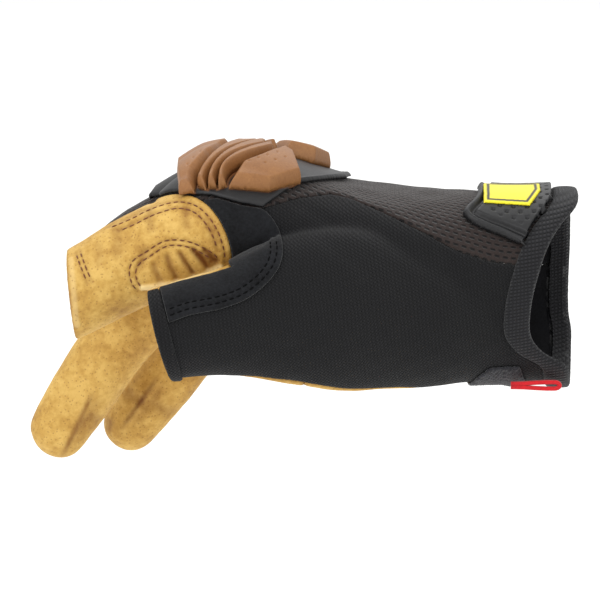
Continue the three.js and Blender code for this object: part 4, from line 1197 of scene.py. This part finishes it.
def makePullLoop():
    half, rise = loop["length"] / 2, loop["height"] / 2 - loop["ribbon"] / 2
    nose, closed = loop["nose"], loop["closed"]
    path = [(-half, closed), (-half * 0.5, 0.62), (0, rise * 0.85), (half * 0.4, rise), (half - nose, rise)]
    path += [(half - nose + (nose - closed) * math.sin(a), rise * math.cos(a))
             for a in np.linspace(0.3, math.pi - 0.3, 8)]
    path += [(x, -z) for x, z in path[4::-1]]
    bm = bmesh.new()
    centre = Vector(np.array(loop["place"]) * (sizes["length"], sizes["breadth"], sizes["depth"]))
    turn = Euler((math.radians(-loop["lean"]), 0, 0)).to_matrix()
    rings = []
    for k, (x, z) in enumerate(path):
        before, after = path[max(k - 1, 0)], path[min(k + 1, len(path) - 1)]
        angle = math.atan2(after[1] - before[1], after[0] - before[0])

        def placed(u, w):
            across, up = loop["width"] / 2 * powered(u, 0.35), loop["ribbon"] / 2 * powered(w, 0.5)
            return turn @ Vector((x - up * math.sin(angle), across, z + up * math.cos(angle))) + centre
        rings.append(addRing(bm, 20, placed))
    skinOver(bm, rings)
    bmesh.ops.recalc_face_normals(bm, faces=bm.faces)
    finishPiece("pullLoop", bm, ("pull_loop",), "ribbon")


makePullLoop()

# stitches: short raised threads laid on a piece along lines of the picture

stitch = {"step": 2.5, "length": 1.8, "girth": 0.26, "sampling": 0.15, "widestGap": 3}


def cast(tree, point):
    # where the line of sight through a point of the picture first meets a piece
    sight = Vector((0, tiltCos, -tiltSin))
    start = Vector((point[0], point[1] * tiltSin, point[1] * tiltCos)) - 200 * sight
    return tree.ray_cast(start, sight)[:2]


def addStitch(bm, a, b, normal):
    along, girth = (b - a).normalized(), stitch["girth"]
    side = normal.cross(along).normalized()
    up = along.cross(side)
    middle = (a + b) / 2 + up * girth * 0.35
    for v in bmesh.ops.create_uvsphere(bm, u_segments=6, v_segments=5, radius=1)["verts"]:
        v.co = (middle + along * (v.co.z * (b - a).length * 0.5) + side * (v.co.x * girth)
                + up * (v.co.y * girth))


def addRow(bm, track):
    step, length = stitch["step"], stitch["length"]
    marks = [0.0]
    for (a, _), (b, _) in zip(track, track[1:]):
        gap = (b - a).length
        marks.append(marks[-1] + (gap if gap < stitch["widestGap"] else stitch["sampling"]))
    at = step / 2
    while at + length < marks[-1]:
        (a, _), (_, normal), (b, _) = (track[min(int(np.searchsorted(marks, value)), len(track) - 1)]
                                       for value in (at, at + length / 2, at + length))
        if 0.6 * length < (b - a).length < 1.5 * length and normal.y < 0.3:
            addStitch(bm, a, b, normal)
        at += step


def makeStitches(name, tree, lines, material):
    bm = bmesh.new()
    for line in lines:
        points = [cast(tree, point) for point in spaced(line, stitch["sampling"])]
        track = [(place, normal) for place, normal in points if place is not None]
        if len(track) >= 4:
            addRow(bm, track)
    finishPiece(name, bm, (), material)


makeStitches("indexStitches", panelTrees["indexLeather"], seamLines["indexLeather"], "thread")
makeStitches("patchStitches", patchTree, seamLines["webPatch"], "blackThread")
print("all pieces done")
